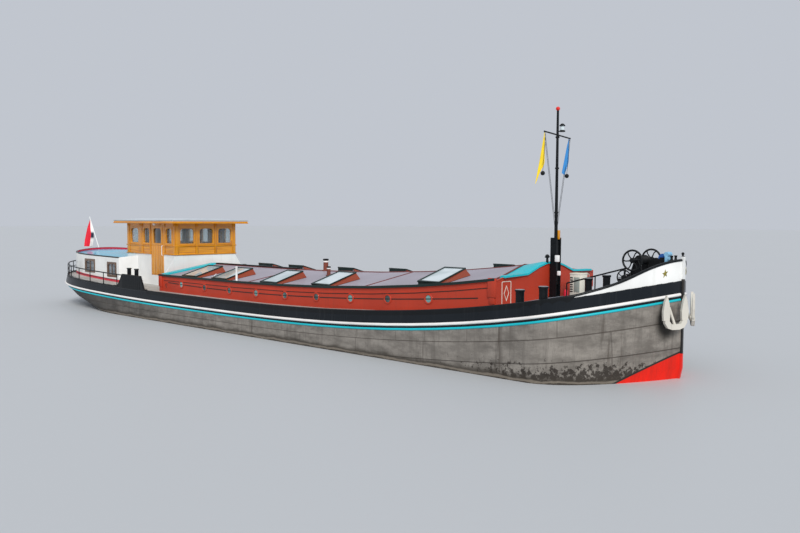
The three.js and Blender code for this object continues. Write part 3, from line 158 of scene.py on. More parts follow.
def deck_height(aft, y=HALF_BEAM):
    """Deck: a fixed rise above the strake, with a parabolic camber across."""
    return strake_height(aft) + DECK_RISE + DECK_CAMBER * np.maximum(0, 1 - (np.asarray(y) / HALF_BEAM) ** 2)


def half_breadth(aft, inset, foot, end, run, entry):
    """Half the hull's breadth at one level: the full half beam, times (1 - (1 - b)^2)^entry over the bow
    and (1 - v^3)^(1/2.2) over the stern, where b and v run from 0 to 1 along each."""
    b = np.clip((aft - foot) / (BOW_END - foot / 2), 0, 1)
    v = np.clip((aft - run) / (end - run), 0, 1)
    return (HALF_BEAM - inset) * (1 - (1 - b) ** 2) ** entry * (1 - v ** 3) ** (1 / 2.2)


def deck_edge(aft):
    """Half breadth of the deck."""
    return half_breadth(np.asarray(aft, dtype=float), DECK_INSET, 0.0, DECK_END, LEVELS[-1, 4], LEVELS[-1, 5])


def coaming_line(aft):
    """The coaming's line: level aft, lifted by a power curve towards the bow."""
    lift = np.maximum(0, (SHEER_MID - np.asarray(aft)) / SHEER_MID) ** COAMING_POWER
    return COAMING_LOW + COAMING_LIFT * lift


def coaming_top(aft):
    """Top of the hold's coaming: straight runs between the hold's frames."""
    return np.interp(aft, FRAMES, coaming_line(np.array(FRAMES)))


def roof_rise(y):
    """Underside of the gabled hatch roof over the coaming's line, with a narrow flat ridge."""
    across = np.maximum(0, np.abs(y) - RIDGE_HALF)
    return ROOF_RISE * (1 - across / (HATCH_HALF - RIDGE_HALF)) - ROOF_DROP


def roof_top(aft, y):
    """Top of the hatch covers."""
    return coaming_top(aft) + roof_rise(y) + COVER_THICK


def lid_height(light, y):
    """Underside of a skylight's lid: straight from its low edge to its high one."""
    share = (LID_LOW[0] - np.abs(y)) / (LID_LOW[0] - LID_HIGH[0])
    return coaming_top(SKYLIGHTS[light][0]) + LID_LOW[1] + (LID_HIGH[1] - LID_LOW[1]) * share


def cabin_top(aft, y):
    """The cabin's roof: it rises aft and is cambered across."""
    return 1.8 + 0.014 * np.maximum(0, np.asarray(aft) - 19.68) + 0.15 * (1 - (np.asarray(y) / 1.75) ** 2)


UP = np.array([0, 0, 1.0])


def place(x, y, z):
    """Points of the ship frame in the row frame."""
    x, y, z = np.broadcast_arrays(x, y, z)
    return np.stack([x + STEM_X, y, z + DRAFT], axis=-1).astype(float)


def at(aft, y, z):
    """Points of the row frame from their distance aft of the stem, y and height over water."""
    return place(-np.asarray(aft, dtype=float), y, z)


# Surfaces


class Shape:
    """Gathers grid surfaces into one mesh with several finishes."""

    def __init__(self):
        self.points, self.quads, self.slots, self.maps, self.ends = [], [], [], [], []
        self.count = 0

    def grid(self, points, caps=False, slot=0, uv=None):
        """Adds a grid of rows by columns whose last column joins the first. caps closes the first and
        last rows. The body is turned outwards by the sign of its volume."""
        points = np.asarray(points, dtype=float)
        rows, cols = points.shape[:2]
        ids = np.arange(rows * cols).reshape(rows, cols)
        ids = np.hstack([ids, ids[:, :1]])
        quads = np.stack([ids[:-1, :-1], ids[:-1, 1:], ids[1:, 1:], ids[1:, :-1]], axis=-1).reshape(-1, 4)
        flat = points.reshape(-1, 3)
        ends = [ids[0, :cols][::-1], ids[-1, :cols]] if caps else []
        local = flat - flat.mean(axis=0)
        a, b, c, d = (local[quads[:, k]] for k in range(4))
        volume = np.sum(a * np.cross(b, c)) + np.sum(a * np.cross(c, d))
        for end in ends:
            fan = local[end]
            volume += np.sum(fan[0] * np.cross(fan[1:-1], fan[2:]))
        if volume < 0:
            quads = quads[:, ::-1]
            ends = [end[::-1] for end in ends]
        self.quads.append(quads + self.count)
        self.ends += [(end + self.count, slot) for end in ends]
        slots = np.broadcast_to(np.asarray(slot), (rows - 1, cols)).reshape(-1)
        self.slots.append(slots)
        self.points.append(flat)
        if uv is None:
            u, v = np.meshgrid(np.linspace(0, 1, cols), np.linspace(0, 1, rows))
            uv = np.stack([u, v], axis=-1)
        self.maps.append(np.asarray(uv, dtype=float).reshape(-1, 2))
        self.count += len(flat)
        return self

    def make(self, name, finishes, body="ship", replaces=(), slot=None, sharp=35):
        """Welds points that meet, drops what has no area, makes the object and puts it on its body."""
        points, uv = np.vstack(self.points), np.vstack(self.maps)
        owner = np.repeat(np.arange(len(self.points)), [len(p) for p in self.points])
        welded, first = np.unique(np.column_stack([np.round(points, 5), owner]), axis=0, return_inverse=True)
        welded, first = np.ascontiguousarray(welded[:, :3]), first.reshape(-1)
        quads = np.vstack(self.quads)
        corners = first[quads]
        keep = corners != np.roll(corners, -1, axis=1)
        good = keep.sum(axis=1) >= 3
        origin = quads[good][keep[good]]
        sizes = keep[good].sum(axis=1)
        slots = np.concatenate(self.slots)[good]
        for end, index in self.ends:
            end = end[first[end] != np.roll(first[end], -1)]
            if len(end) < 3:
                continue
            origin = np.concatenate([origin, end])
            sizes = np.append(sizes, len(end))
            slots = np.append(slots, index)
        mesh = bpy.data.meshes.new(name)
        mesh.vertices.add(len(welded))
        mesh.vertices.foreach_set("co", welded.ravel())
        mesh.loops.add(len(origin))
        mesh.loops.foreach_set("vertex_index", first[origin].astype(np.int32))
        mesh.polygons.add(len(sizes))
        mesh.polygons.foreach_set("loop_start", (np.cumsum(sizes) - sizes).astype(np.int32))
        mesh.polygons.foreach_set("loop_total", sizes.astype(np.int32))
        mesh.polygons.foreach_set("material_index", slots.astype(np.int32))
        mesh.update(calc_edges=True)
        layer = mesh.uv_layers.new(name="UVMap")
        layer.data.foreach_set("uv", uv[origin].ravel())
        mesh.shade_smooth()
        mesh.set_sharp_from_angle(angle=math.radians(sharp))
        mesh.update()
        for finish in finishes:
            mesh.materials.append(FINISH[finish])
        piece = bpy.data.objects.new(name, mesh)
        bpy.context.scene.collection.objects.link(piece)
        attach(piece, body)
        if replaces:
            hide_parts(*replaces)
        return piece


def unit(vectors):
    """Each vector divided by its length."""
    vectors = np.asarray(vectors, dtype=float)
    return vectors / np.maximum(1e-12, np.linalg.norm(vectors, axis=-1, keepdims=True))


def sweep(path, section, up=(0, 0, 1), closed=False, upright=False):
    """Carries a flat section of (out, up) pairs along a path: each point is the path's point plus out
    times the sideways direction (path direction cross up) and up times the direction square to both.
    upright keeps the section's second direction vertical."""
    path = np.asarray(path, dtype=float)
    if closed:
        along = np.roll(path, -1, axis=0) - np.roll(path, 1, axis=0)
    else:
        steps = unit(np.diff(path, axis=0))
        along = np.vstack([steps[:1], steps[:-1] + steps[1:], steps[-1:]])
    up = np.asarray(up, dtype=float)
    side = unit(np.cross(along, up))
    rise = np.broadcast_to(up, side.shape) if upright else unit(np.cross(side, along))
    section = np.asarray(section, dtype=float)
    if section.ndim == 2:
        section = np.broadcast_to(section, (len(path),) + section.shape)
    rows = path[:, None, :] + section[..., :1] * side[:, None, :] + section[..., 1:] * rise[:, None, :]
    return np.concatenate([rows, rows[:1]]) if closed else rows


def ring(radius, sides=12):
    """Points of a circle as (out, up) pairs."""
    angle = np.linspace(0, 2 * np.pi, sides, endpoint=False)
    return np.stack([radius * np.cos(angle), radius * np.sin(angle)], axis=-1)


def tube(path, radius, sides=10, up=(0, 0, 1), closed=False):
    """A round rod along a path; radius may change along it."""
    radius = np.broadcast_to(np.asarray(radius, dtype=float), (len(path),))
    return sweep(path, ring(1.0, sides)[None] * radius[:, None, None], up, closed)


def rounded(low, high, corners, steps=4):
    """A rectangle as a loop of points whose corner k is a quarter circle of radius corners[k], from
    the low left corner anticlockwise."""
    (u0, v0), (u1, v1) = low, high
    middles = np.array([(u0, v0), (u1, v0), (u1, v1), (u0, v1)], dtype=float)
    inward = np.array([(1, 1), (-1, 1), (-1, -1), (1, -1)], dtype=float)
    radius = np.broadcast_to(np.asarray(corners, dtype=float), (4,))
    middles = middles + inward * radius[:, None]
    angle = np.pi + np.arange(4)[:, None] * np.pi / 2 + np.linspace(0, np.pi / 2, steps + 1)[None]
    circle = np.stack([np.cos(angle), np.sin(angle)], axis=-1)
    return (middles[:, None] + radius[:, None, None] * circle).reshape(-1, 2)


def on_plane(pairs, origin, u, v, lift=0.0):
    """Puts (u, v) pairs on a plane, lifted along its normal."""
    u, v = unit(u), unit(v)
    pairs = np.asarray(pairs, dtype=float)
    return np.asarray(origin) + pairs[..., :1] * u + pairs[..., 1:] * v + lift * np.cross(u, v)


def frame_ring(outer, inner, origin, u, v, lifts, bevel=0.004):
    """A flat ring between two loops of points, with its edges bevelled: the rows run over the face,
    down the outside, across the back and up the inside, so the last row is the first."""
    back, face = lifts
    middle = (outer + inner) / 2
    shrink = unit(middle - outer) * bevel
    rows = [(inner, back), (inner, face - bevel), (inner - shrink, face), (outer + shrink, face),
            (outer, face - bevel), (outer, back), (inner, back)]
    return np.stack([on_plane(loop, origin, u, v, lift) for loop, lift in rows])


def plate(loop, origin, u, v, lifts, bevel=0.003):
    """A flat plate inside a loop of points, its edge bevelled towards the face."""
    back, face = lifts
    centre = loop.mean(axis=0)
    drawn = loop + unit(centre - loop) * bevel
    rows = [(loop, back), (loop, face - bevel * np.sign(face - back)), (drawn, face)]
    return np.stack([on_plane(pairs, origin, u, v, lift) for pairs, lift in rows])


def turned(profile, centre, axis=(0, 0, 1), sides=24):
    """A turned shape: each (radius, height) pair of the profile makes a circle round the axis."""
    axis = unit(axis)
    help_axis = np.array([1.0, 0, 0]) if abs(axis[0]) < 0.9 else np.array([0, 1.0, 0])
    u = unit(np.cross(axis, help_axis))
    v = np.cross(axis, u)
    profile = np.asarray(profile, dtype=float)
    angle = np.linspace(0, 2 * np.pi, sides, endpoint=False)
    circle = np.cos(angle)[:, None] * u + np.sin(angle)[:, None] * v
    return np.asarray(centre) + profile[:, :1, None] * circle[None] + profile[:, 1:, None] * axis


def block(low, high, radius=0.01, steps=2):
    """A box with rounded edges: a small sphere's points pushed out to the eight corners."""
    low, high = np.minimum(low, high).astype(float), np.maximum(low, high).astype(float)
    core = (high - low) / 2
    radius = min(radius, *(core * 0.98))
    quarter = np.linspace(0, np.pi / 2, steps + 1)
    turn = np.concatenate([quarter + k * np.pi / 2 for k in range(4)])
    lift = np.concatenate([quarter - np.pi / 2, quarter])
    corner = np.repeat(np.array([[1, 1], [-1, 1], [-1, -1], [1, -1]]), steps + 1, axis=0)
    points = np.empty((len(lift), len(turn), 3))
    points[..., 0] = np.cos(lift)[:, None] * np.cos(turn)
    points[..., 1] = np.cos(lift)[:, None] * np.sin(turn)
    points[..., 2] = np.sin(lift)[:, None]
    sign = np.empty_like(points)
    sign[..., :2] = corner[None]
    sign[..., 2] = np.repeat([-1, 1], steps + 1)[:, None]
    return (low + high) / 2 + sign * (core - radius) + radius * points


def mirrored(points):
    """The same points on the other side of the ship."""
    return np.asarray(points) * np.array([1.0, -1.0, 1.0])


# Finishes


class Graph:
    """Short calls for making nodes in one tree."""

    def __init__(self, tree):
        self.tree = tree

    def node(self, kind, inputs=(), **settings):
        made = self.tree.nodes.new("ShaderNode" + kind if not kind.startswith("Node") else kind)
        for key, value in settings.items():
            setattr(made, key, value)
        for key, value in dict(inputs).items():
            self.feed(made.inputs[key], value)
        return made

    def feed(self, socket, value):
        if isinstance(value, bpy.types.NodeSocket):
            self.tree.links.new(value, socket)
        elif value is not None:
            socket.default_value = value

    def math(self, operation, a, b=0.0, c=0.0):
        return self.node("Math", {0: a, 1: b, 2: c}, operation=operation).outputs[0]

    def mix(self, share, a, b, blend="MIX"):
        made = self.node("Mix", data_type="RGBA", blend_type=blend)
        self.feed(made.inputs[0], share)
        self.feed(made.inputs[6], a)
        self.feed(made.inputs[7], b)
        return made.outputs[2]

    def noise(self, vector, scale, detail=3.0, rough=0.55):
        inputs = {"Vector": vector, "Scale": scale, "Detail": detail, "Roughness": rough}
        return self.node("TexNoise", inputs).outputs["Fac"]

    def stretch(self, vector, scale):
        return self.node("Mapping", {"Vector": vector, "Scale": scale}).outputs[0]

    def axes(self, vector):
        return self.node("SeparateXYZ", {0: vector}).outputs

    def between(self, value, low, high):
        """0 below low, 1 above high, with a smooth step between."""
        inputs = {"Value": value, "From Min": low, "From Max": high}
        return self.node("MapRange", inputs, interpolation_type="SMOOTHSTEP").outputs[0]

    def line(self, value, middle, half):
        """1 on a line where value is middle, falling to 0 at half to each side."""
        off = self.math("ABSOLUTE", self.math("SUBTRACT", value, middle))
        return self.between(off, half, half * 0.35)

    def group(self, tree, inputs):
        made = self.node("Group", node_tree=tree)
        for key, value in inputs.items():
            self.feed(made.inputs[key], value)
        return made.outputs


def effect(name, inputs, outputs, build):
    """A node group that several finishes share, built once."""
    found = bpy.data.node_groups.get(name)
    if found:
        return found
    tree = bpy.data.node_groups.new(name, "ShaderNodeTree")
    for label, kind, default in inputs:
        socket = tree.interface.new_socket(name=label, in_out="INPUT", socket_type="NodeSocket" + kind)
        if default is not None:
            socket.default_value = default
    for label, kind in outputs:
        tree.interface.new_socket(name=label, in_out="OUTPUT", socket_type="NodeSocket" + kind)
    graph = Graph(tree)
    given = graph.node("NodeGroupInput")
    result = graph.node("NodeGroupOutput")
    for label, socket in build(graph, {s.name: s for s in given.outputs if s.name}).items():
        graph.feed(result.inputs[label], socket)
    return tree


def old_paint():
    """Old paint: a slow change of tone, rain streaks down the upright faces, and small rust spots."""

    def build(g, given):
        spot = given["Vector"]
        slow = g.noise(spot, 0.9, 2.0)
        streak = g.noise(g.stretch(spot, (9.0, 9.0, 0.55)), 1.0, 4.0, 0.6)
        grain = g.noise(spot, 55.0, 3.0)
        speck = g.noise(spot, 6.0, 8.0, 0.72)
        tone = g.math("MULTIPLY_ADD", g.math("SUBTRACT", slow, 0.5), 0.5, 1.0)
        shade = g.node("CombineColor", {0: tone, 1: tone, 2: tone}).outputs[0]
        color = g.mix(1.0, given["Paint"], shade, "MULTIPLY")
        runs = g.math("MULTIPLY", g.between(streak, 0.52, 0.75), given["Streaks"])
        color = g.mix(runs, color, given["Grime"])
        rust = g.math("MULTIPLY", g.between(speck, 0.66, 0.74), given["Rust"])
        color = g.mix(rust, color, (0.16, 0.055, 0.02, 1))
        rough = g.math("MULTIPLY_ADD", slow, 0.25, g.math("MULTIPLY_ADD", runs, 0.25, given["Roughness"]))
        height = g.math("MULTIPLY_ADD", rust, -0.6, g.math("MULTIPLY", grain, 0.35))
        return {"Color": color, "Roughness": rough, "Height": height}

    return effect(
        "old_paint",
        [("Vector", "Vector", None), ("Paint", "Color", (0.8, 0.8, 0.8, 1)),
         ("Grime", "Color", (0.1, 0.09, 0.08, 1)), ("Roughness", "Float", 0.3), ("Streaks", "Float", 0.3),
         ("Rust", "Float", 0.2)],
        [("Color", "Color"), ("Roughness", "Float"), ("Height", "Float")],
        build,
    )


def wood_grain():
    """Varnished wood: rings stretched along the grain, darker pores, and a slow change of tone."""

    def build(g, given):
        along = given["Vector"]
        rings = g.noise(g.stretch(along, (1.2, 26.0, 26.0)), 1.0, 5.0, 0.6)
        pores = g.noise(g.stretch(along, (6.0, 240.0, 240.0)), 1.0, 2.0)
        slow = g.noise(along, 1.4, 2.0)
        color = g.mix(g.between(rings, 0.3, 0.75), given["Light"], given["Dark"])
        color = g.mix(g.math("MULTIPLY", g.between(pores, 0.55, 0.75), 0.35), color, given["Dark"])
        color = g.mix(g.math("MULTIPLY", slow, 0.25), color, given["Dark"])
        rough = g.math("MULTIPLY_ADD", rings, 0.2, 0.16)
        height = g.math("MULTIPLY_ADD", pores, 0.3, g.math("MULTIPLY", rings, 0.4))
        return {"Color": color, "Roughness": rough, "Height": height}

    return effect(
        "wood_grain",
        [("Vector", "Vector", None), ("Light", "Color", (0.5, 0.3, 0.1, 1)),
         ("Dark", "Color", (0.2, 0.1, 0.03, 1))],
        [("Color", "Color"), ("Roughness", "Float"), ("Height", "Float")],
        build,
    )


def above_strake():
    """Height of a point above the rubbing strake, by the strake's own formula."""

    def build(g, given):
        parts = g.axes(given["Vector"])
        aft = g.math("SUBTRACT", STEM_X, parts[0])
        bow = g.math("MAXIMUM", 0.0, g.math("DIVIDE", g.math("SUBTRACT", SHEER_MID, aft), SHEER_MID))
        stern = g.math("DIVIDE", g.math("SUBTRACT", aft, SHEER_MID), SHEER_END - SHEER_MID)
        stern = g.math("MAXIMUM", 0.0, stern)
        line = g.math("MULTIPLY_ADD", g.math("POWER", bow, BOW_POWER), BOW_LIFT, SHEER_LOW + DRAFT)
        line = g.math("MULTIPLY_ADD", g.math("POWER", stern, STERN_POWER), STERN_LIFT, line)
        return {"Above": g.math("SUBTRACT", parts[2], line), "Aft": aft}

    return effect("above_strake", [("Vector", "Vector", None)], [("Above", "Float"), ("Aft", "Float")], build)


def old_steel():
    """Bare or thinly painted plating: mottled greys, upright streaks of wear, and
    rusty pits that thicken where Wet is high."""

    def build(g, given):
        spot = given["Vector"]
        slow = g.noise(spot, 0.55, 3.0)
        cloud = g.noise(g.stretch(spot, (1.6, 1.6, 4.2)), 1.0, 9.0, 0.68)
        runs = g.noise(g.stretch(spot, (7.0, 7.0, 0.5)), 1.0, 7.0, 0.66)
        fine = g.noise(g.stretch(spot, (42.0, 42.0, 9.0)), 1.0, 5.0, 0.65)
        pits = g.noise(spot, 9.0, 9.0, 0.74)
        tone = g.mix(g.between(cloud, 0.3, 0.68), given["Dark"], given["Light"])
        tone = g.mix(g.math("MULTIPLY", g.between(runs, 0.48, 0.68), 0.65), tone, given["Dark"])
        tone = g.mix(g.math("MULTIPLY", g.between(slow, 0.45, 0.65), 0.3), tone, given["Light"])
        tone = g.mix(g.math("MULTIPLY", g.between(fine, 0.5, 0.72), 0.45), tone, given["Dark"])
        level = g.math("MULTIPLY_ADD", given["Wet"], -0.26, 0.7)
        wear = g.between(pits, level, g.math("ADD", level, 0.05))
        color = g.mix(g.math("MULTIPLY", wear, 0.85), tone, given["Rust"])
        height = g.math("MULTIPLY_ADD", wear, -0.5, g.math("MULTIPLY", cloud, 0.5))
        return {"Color": color, "Height": height, "Runs": runs, "Cloud": cloud}

    return effect(
        "old_steel",
        [("Vector", "Vector", None), ("Light", "Color", (0.3, 0.29, 0.27, 1)),
         ("Dark", "Color", (0.15, 0.14, 0.13, 1)), ("Rust", "Color", (0.05, 0.03, 0.02, 1)),
         ("Wet", "Float", 0.0)],
        [("Color", "Color"), ("Height", "Float"), ("Runs", "Float"), ("Cloud", "Float")],
        build,
    )


def new_finish(name):
    """An empty material with its shader, its place in object space and a graph to work in."""
    finish = bpy.data.materials.new(name)
    finish.use_nodes = True
    tree = finish.node_tree
    shader = tree.nodes["Principled BSDF"]
    g = Graph(tree)
    spot = g.node("TexCoord").outputs["Object"]
    return finish, g, shader, spot


def rough_skin(g, shader, height, distance, strength=0.5):
    """Feeds a height into the shader's normal as bump."""
    bump = g.node("Bump", {"Height": height, "Distance": distance, "Strength": strength})
    g.tree.links.new(bump.outputs[0], shader.inputs["Normal"])


def paint(name, color, roughness=0.3, streaks=0.25, rust=0.1, metallic=0.0, grime=(0.09, 0.08, 0.07),
          coat=0.1, shine=0.35):
    """Painted steel or wood."""
    finish, g, shader, spot = new_finish(name)
    old = g.group(old_paint(), {"Vector": spot, "Paint": (*color, 1), "Grime": (*grime, 1),
                                "Roughness": roughness, "Streaks": streaks, "Rust": rust})
    g.feed(shader.inputs["Base Color"], old["Color"])
    g.feed(shader.inputs["Roughness"], old["Roughness"])
    shader.inputs["Metallic"].default_value = metallic
    shader.inputs["Coat Weight"].default_value = coat
    shader.inputs["Specular IOR Level"].default_value = shine
    rough_skin(g, shader, old["Height"], 0.002)
    return finish


def varnish(name, light, dark, along="X"):
    """Varnished wood with its grain along one axis of the ship."""
    finish, g, shader, spot = new_finish(name)
    turn = {"X": (0, 0, 0), "Y": (0, 0, math.pi / 2), "Z": (0, math.pi / 2, 0)}[along]
    place_in = g.node("Mapping", {"Vector": spot, "Rotation": turn}).outputs[0]
    wood = g.group(wood_grain(), {"Vector": place_in, "Light": (*light, 1), "Dark": (*dark, 1)})
    g.feed(shader.inputs["Base Color"], wood["Color"])
    g.feed(shader.inputs["Roughness"], wood["Roughness"])
    shader.inputs["Coat Weight"].default_value = 0.5
    shader.inputs["Coat Roughness"].default_value = 0.12
    rough_skin(g, shader, wood["Height"], 0.0015)
    return finish


def window_glass(name):
    """Clear glass with a faint tint and smears in its roughness."""
    finish, g, shader, spot = new_finish(name)
    smear = g.noise(spot, 3.0, 3.0)
    g.feed(shader.inputs["Roughness"], g.math("MULTIPLY_ADD", smear, 0.08, 0.03))
    shader.inputs["Base Color"].default_value = (0.75, 0.82, 0.84, 1)
    shader.inputs["Transmission Weight"].default_value = 0.92
    shader.inputs["IOR"].default_value = 1.45
    return finish


def pane(name, sky, dark):
    """Old glass over a dark room: its colour is a painted sky reflection, mixed with the room's dark by a
    slow change of tone.
    """
    finish, g, shader, spot = new_finish(name)
    # Painted reflection: the base colour blends the reflected sky's colour with the dark of the room behind.
    slow = g.noise(g.stretch(spot, (2.0, 2.0, 0.6)), 1.0, 2.0)
    g.feed(shader.inputs["Base Color"], g.mix(g.between(slow, 0.35, 0.65), (*dark, 1), (*sky, 1)))
    g.feed(shader.inputs["Roughness"], g.math("MULTIPLY_ADD", slow, 0.1, 0.02))
    shader.inputs["Coat Weight"].default_value = 1.0
    return finish


def underwater_red(g, runs):
    """Two reds that change along the upright streaks."""
    return g.mix(g.between(runs, 0.35, 0.75), (0.82, 0.020, 0.010, 1), (0.58, 0.022, 0.013, 1))


def hull_plates(name):
    """The plating: glossy black topsides over a dull warm grey side with its plate seams, dark growth
    and a pale scum line along the waterline, and red underwater paint that climbs at the stem. Painted
    shade darkens the grey side towards the stern, and a painted shadow lies round the anchors. The seams
    follow the mesh's own map: metres aft across, share of the hull's height up."""
    finish, g, shader, spot = new_finish(name)
    sheer = g.group(above_strake(), {"Vector": spot})
    above, aft = sheer["Above"], sheer["Aft"]
    wet = g.math("SUBTRACT", g.axes(spot)[2], DRAFT)
    old = g.group(old_paint(), {"Vector": spot, "Paint": (0.010, 0.013, 0.017, 1),
                                "Grime": (0.03, 0.033, 0.036, 1), "Roughness": 0.16, "Streaks": 0.3,
                                "Rust": 0.06})
    near_stem = g.between(aft, 5.0, 1.2)
    low = g.math("MULTIPLY", g.between(wet, 0.75, 0.1), g.math("MULTIPLY_ADD", near_stem, 0.85, 0.25))
    steel = g.group(old_steel(), {"Vector": spot, "Light": (0.30, 0.275, 0.245, 1),
                                  "Dark": (0.135, 0.122, 0.108, 1), "Rust": (0.02, 0.015, 0.012, 1),
                                  "Wet": low})
    # Painted shade: the grey side darkens towards the stern, which lies in shade.
    back = g.between(aft, 12.0, 22.0)
    side = g.mix(g.math("MULTIPLY", back, 0.8), steel["Color"], (0.028, 0.03, 0.032, 1))
    seams = g.node("UVMap", uv_map="UVMap").outputs[0]
    along, up = g.axes(seams)[0], g.axes(seams)[1]
    lines = g.math("MAXIMUM", g.line(up, 0.805, 0.0065), g.line(up, 0.6, 0.0065))
    butt = g.math("PINGPONG", g.math("ADD", along, 0.55), 1.02)
    high = g.between(up, 0.8, 0.81)
    butt_low = g.math("PINGPONG", g.math("ADD", along, 1.3), 1.02)
    butts = g.math("ADD", g.math("MULTIPLY", g.line(butt, 0.0, 0.013), high),
                   g.math("MULTIPLY", g.line(butt_low, 0.0, 0.013), g.math("SUBTRACT", 1.0, high)))
    seam = g.math("MAXIMUM", lines, g.math("MULTIPLY", butts, 0.55))
    side = g.mix(g.math("MULTIPLY", seam, 0.7), side, (0.045, 0.035, 0.03, 1))
    stain = g.math("MULTIPLY", g.line(butt_low, 0.0, 0.16), g.between(steel["Runs"], 0.52, 0.62))
    side = g.mix(g.math("MULTIPLY", stain, 0.5), side, (0.06, 0.045, 0.035, 1))
    # Painted shadow round the anchors: a dark ellipse centred just aft of the stem beside each anchor.
    parts = g.axes(spot)
    anchor_shadow_offset = g.node("CombineXYZ", {0: g.math("SUBTRACT", STEM_X - 0.16, parts[0]),
                                1: g.math("SUBTRACT", g.math("ABSOLUTE", parts[1]), 0.44),
                                2: g.math("MULTIPLY", g.math("SUBTRACT", parts[2], DRAFT + 1.17), 0.8)})
    reach = g.node("VectorMath", {0: anchor_shadow_offset.outputs[0]}, operation="LENGTH").outputs["Value"]
    side = g.mix(g.math("MULTIPLY", g.between(reach, 0.36, 0.16), 0.9), side, (0.015, 0.013, 0.011, 1))
    ragged = g.math("MULTIPLY_ADD", g.math("SUBTRACT", steel["Cloud"], 0.5), 0.14, wet)
    side = g.mix(g.math("MULTIPLY", g.between(ragged, 0.2, 0.08), 0.85), side, (0.05, 0.042, 0.034, 1))
    scum = g.math("MULTIPLY", g.between(ragged, 0.02, 0.035), g.between(ragged, 0.085, 0.06))
    side = g.mix(g.math("MULTIPLY", scum, 0.45), side, (0.36, 0.31, 0.25, 1))
    color = g.mix(g.between(above, -0.135, -0.125), side, old["Color"])
    boot = g.math("SUBTRACT", g.math("MULTIPLY_ADD", aft, -0.74, 0.53), wet)
    color = g.mix(g.between(boot, -0.045, -0.03), color, (0.03, 0.028, 0.025, 1))
    red = underwater_red(g, steel["Runs"])
    color = g.mix(g.between(boot, -0.004, 0.006), color, red)
    color = g.mix(g.between(wet, 0.0, -0.02), color, red)
    g.feed(shader.inputs["Base Color"], color)
    dull = g.between(above, -0.12, -0.14)
    g.feed(shader.inputs["Roughness"], g.math("MULTIPLY_ADD", dull, 0.4, old["Roughness"]))
    shader.inputs["Specular IOR Level"].default_value = 0.16
    height = g.math("MULTIPLY_ADD", seam, -1.2, g.math("MULTIPLY", steel["Height"], g.math("ADD", 0.1, dull)))
    rough_skin(g, shader, height, 0.004, 0.6)
    return finish


def deck_paint(name):
    """The decked hull's own surface: black sides, red bottom and worn pale decks, cooler and bluer
    at the bow."""
    finish, g, shader, spot = new_finish(name)
    sheer = g.group(above_strake(), {"Vector": spot})
    above, aft = sheer["Above"], sheer["Aft"]
    wet = g.math("SUBTRACT", g.axes(spot)[2], DRAFT)
    steel = g.group(old_steel(), {"Vector": spot, "Light": (0.30, 0.28, 0.25, 1),
                                  "Dark": (0.16, 0.15, 0.14, 1), "Rust": (0.05, 0.03, 0.02, 1), "Wet": 0.2})
    color = g.mix(g.between(above, -0.135, -0.125), steel["Color"], (0.011, 0.014, 0.018, 1))
    color = g.mix(g.between(wet, 0.0, -0.02), color, underwater_red(g, steel["Runs"]))
    up = g.axes(g.node("NewGeometry").outputs["Normal"])[2]
    deck = g.math("MULTIPLY", g.between(up, 0.7, 0.9), g.between(above, 0.15, 0.2))
    walk = g.mix(g.between(steel["Cloud"], 0.3, 0.7), (0.36, 0.35, 0.33, 1), (0.48, 0.47, 0.44, 1))
    bow = g.mix(g.between(steel["Cloud"], 0.3, 0.7), (0.22, 0.27, 0.33, 1), (0.32, 0.37, 0.42, 1))
    color = g.mix(deck, color, g.mix(g.between(aft, 3.3, 3.0), walk, bow))
    g.feed(shader.inputs["Base Color"], color)
    g.feed(shader.inputs["Roughness"], g.math("MULTIPLY_ADD", deck, 0.25, 0.35))
    rough_skin(g, shader, steel["Height"], 0.003)
    return finish


def stem_paint(name):
    """The stem bar: red underwater, then black, and white where it passes the bow panel."""
    finish, g, shader, spot = new_finish(name)
    wet = g.math("SUBTRACT", g.axes(spot)[2], DRAFT)
    runs = g.noise(g.stretch(spot, (8.0, 8.0, 1.0)), 1.0, 4.0)
    dark = g.mix(g.between(runs, 0.4, 0.7), (0.014, 0.014, 0.015, 1), (0.045, 0.04, 0.035, 1))
    color = g.mix(g.between(wet, 0.525, 0.515), dark, underwater_red(g, runs))
    color = g.mix(g.between(wet, 2.035, 2.045), color, (0.80, 0.81, 0.80, 1))
    color = g.mix(g.between(wet, 2.49, 2.5), color, (0.02, 0.02, 0.022, 1))
    g.feed(shader.inputs["Base Color"], color)
    g.feed(shader.inputs["Roughness"], g.math("MULTIPLY_ADD", runs, 0.3, 0.25))
    rough_skin(g, shader, g.noise(spot, 40.0, 3.0), 0.002)
    return finish


def cabin_paint(name, white, red):
    """Cabin sides: white with a red band along the deck, and the deck's height from the strake's."""
    finish, g, shader, spot = new_finish(name)
    sheer = g.group(above_strake(), {"Vector": spot})
    old = g.group(old_paint(), {"Vector": spot, "Paint": (*white, 1), "Grime": (0.45, 0.43, 0.38, 1),
                                "Roughness": 0.28, "Streaks": 0.12, "Rust": 0.05})
    band = g.between(sheer["Above"], DECK_RISE + 0.115, DECK_RISE + 0.105)
    g.feed(shader.inputs["Base Color"], g.mix(band, old["Color"], (*red, 1)))
    g.feed(shader.inputs["Roughness"], old["Roughness"])
    shader.inputs["Coat Weight"].default_value = 0.15
    rough_skin(g, shader, old["Height"], 0.002)
    return finish


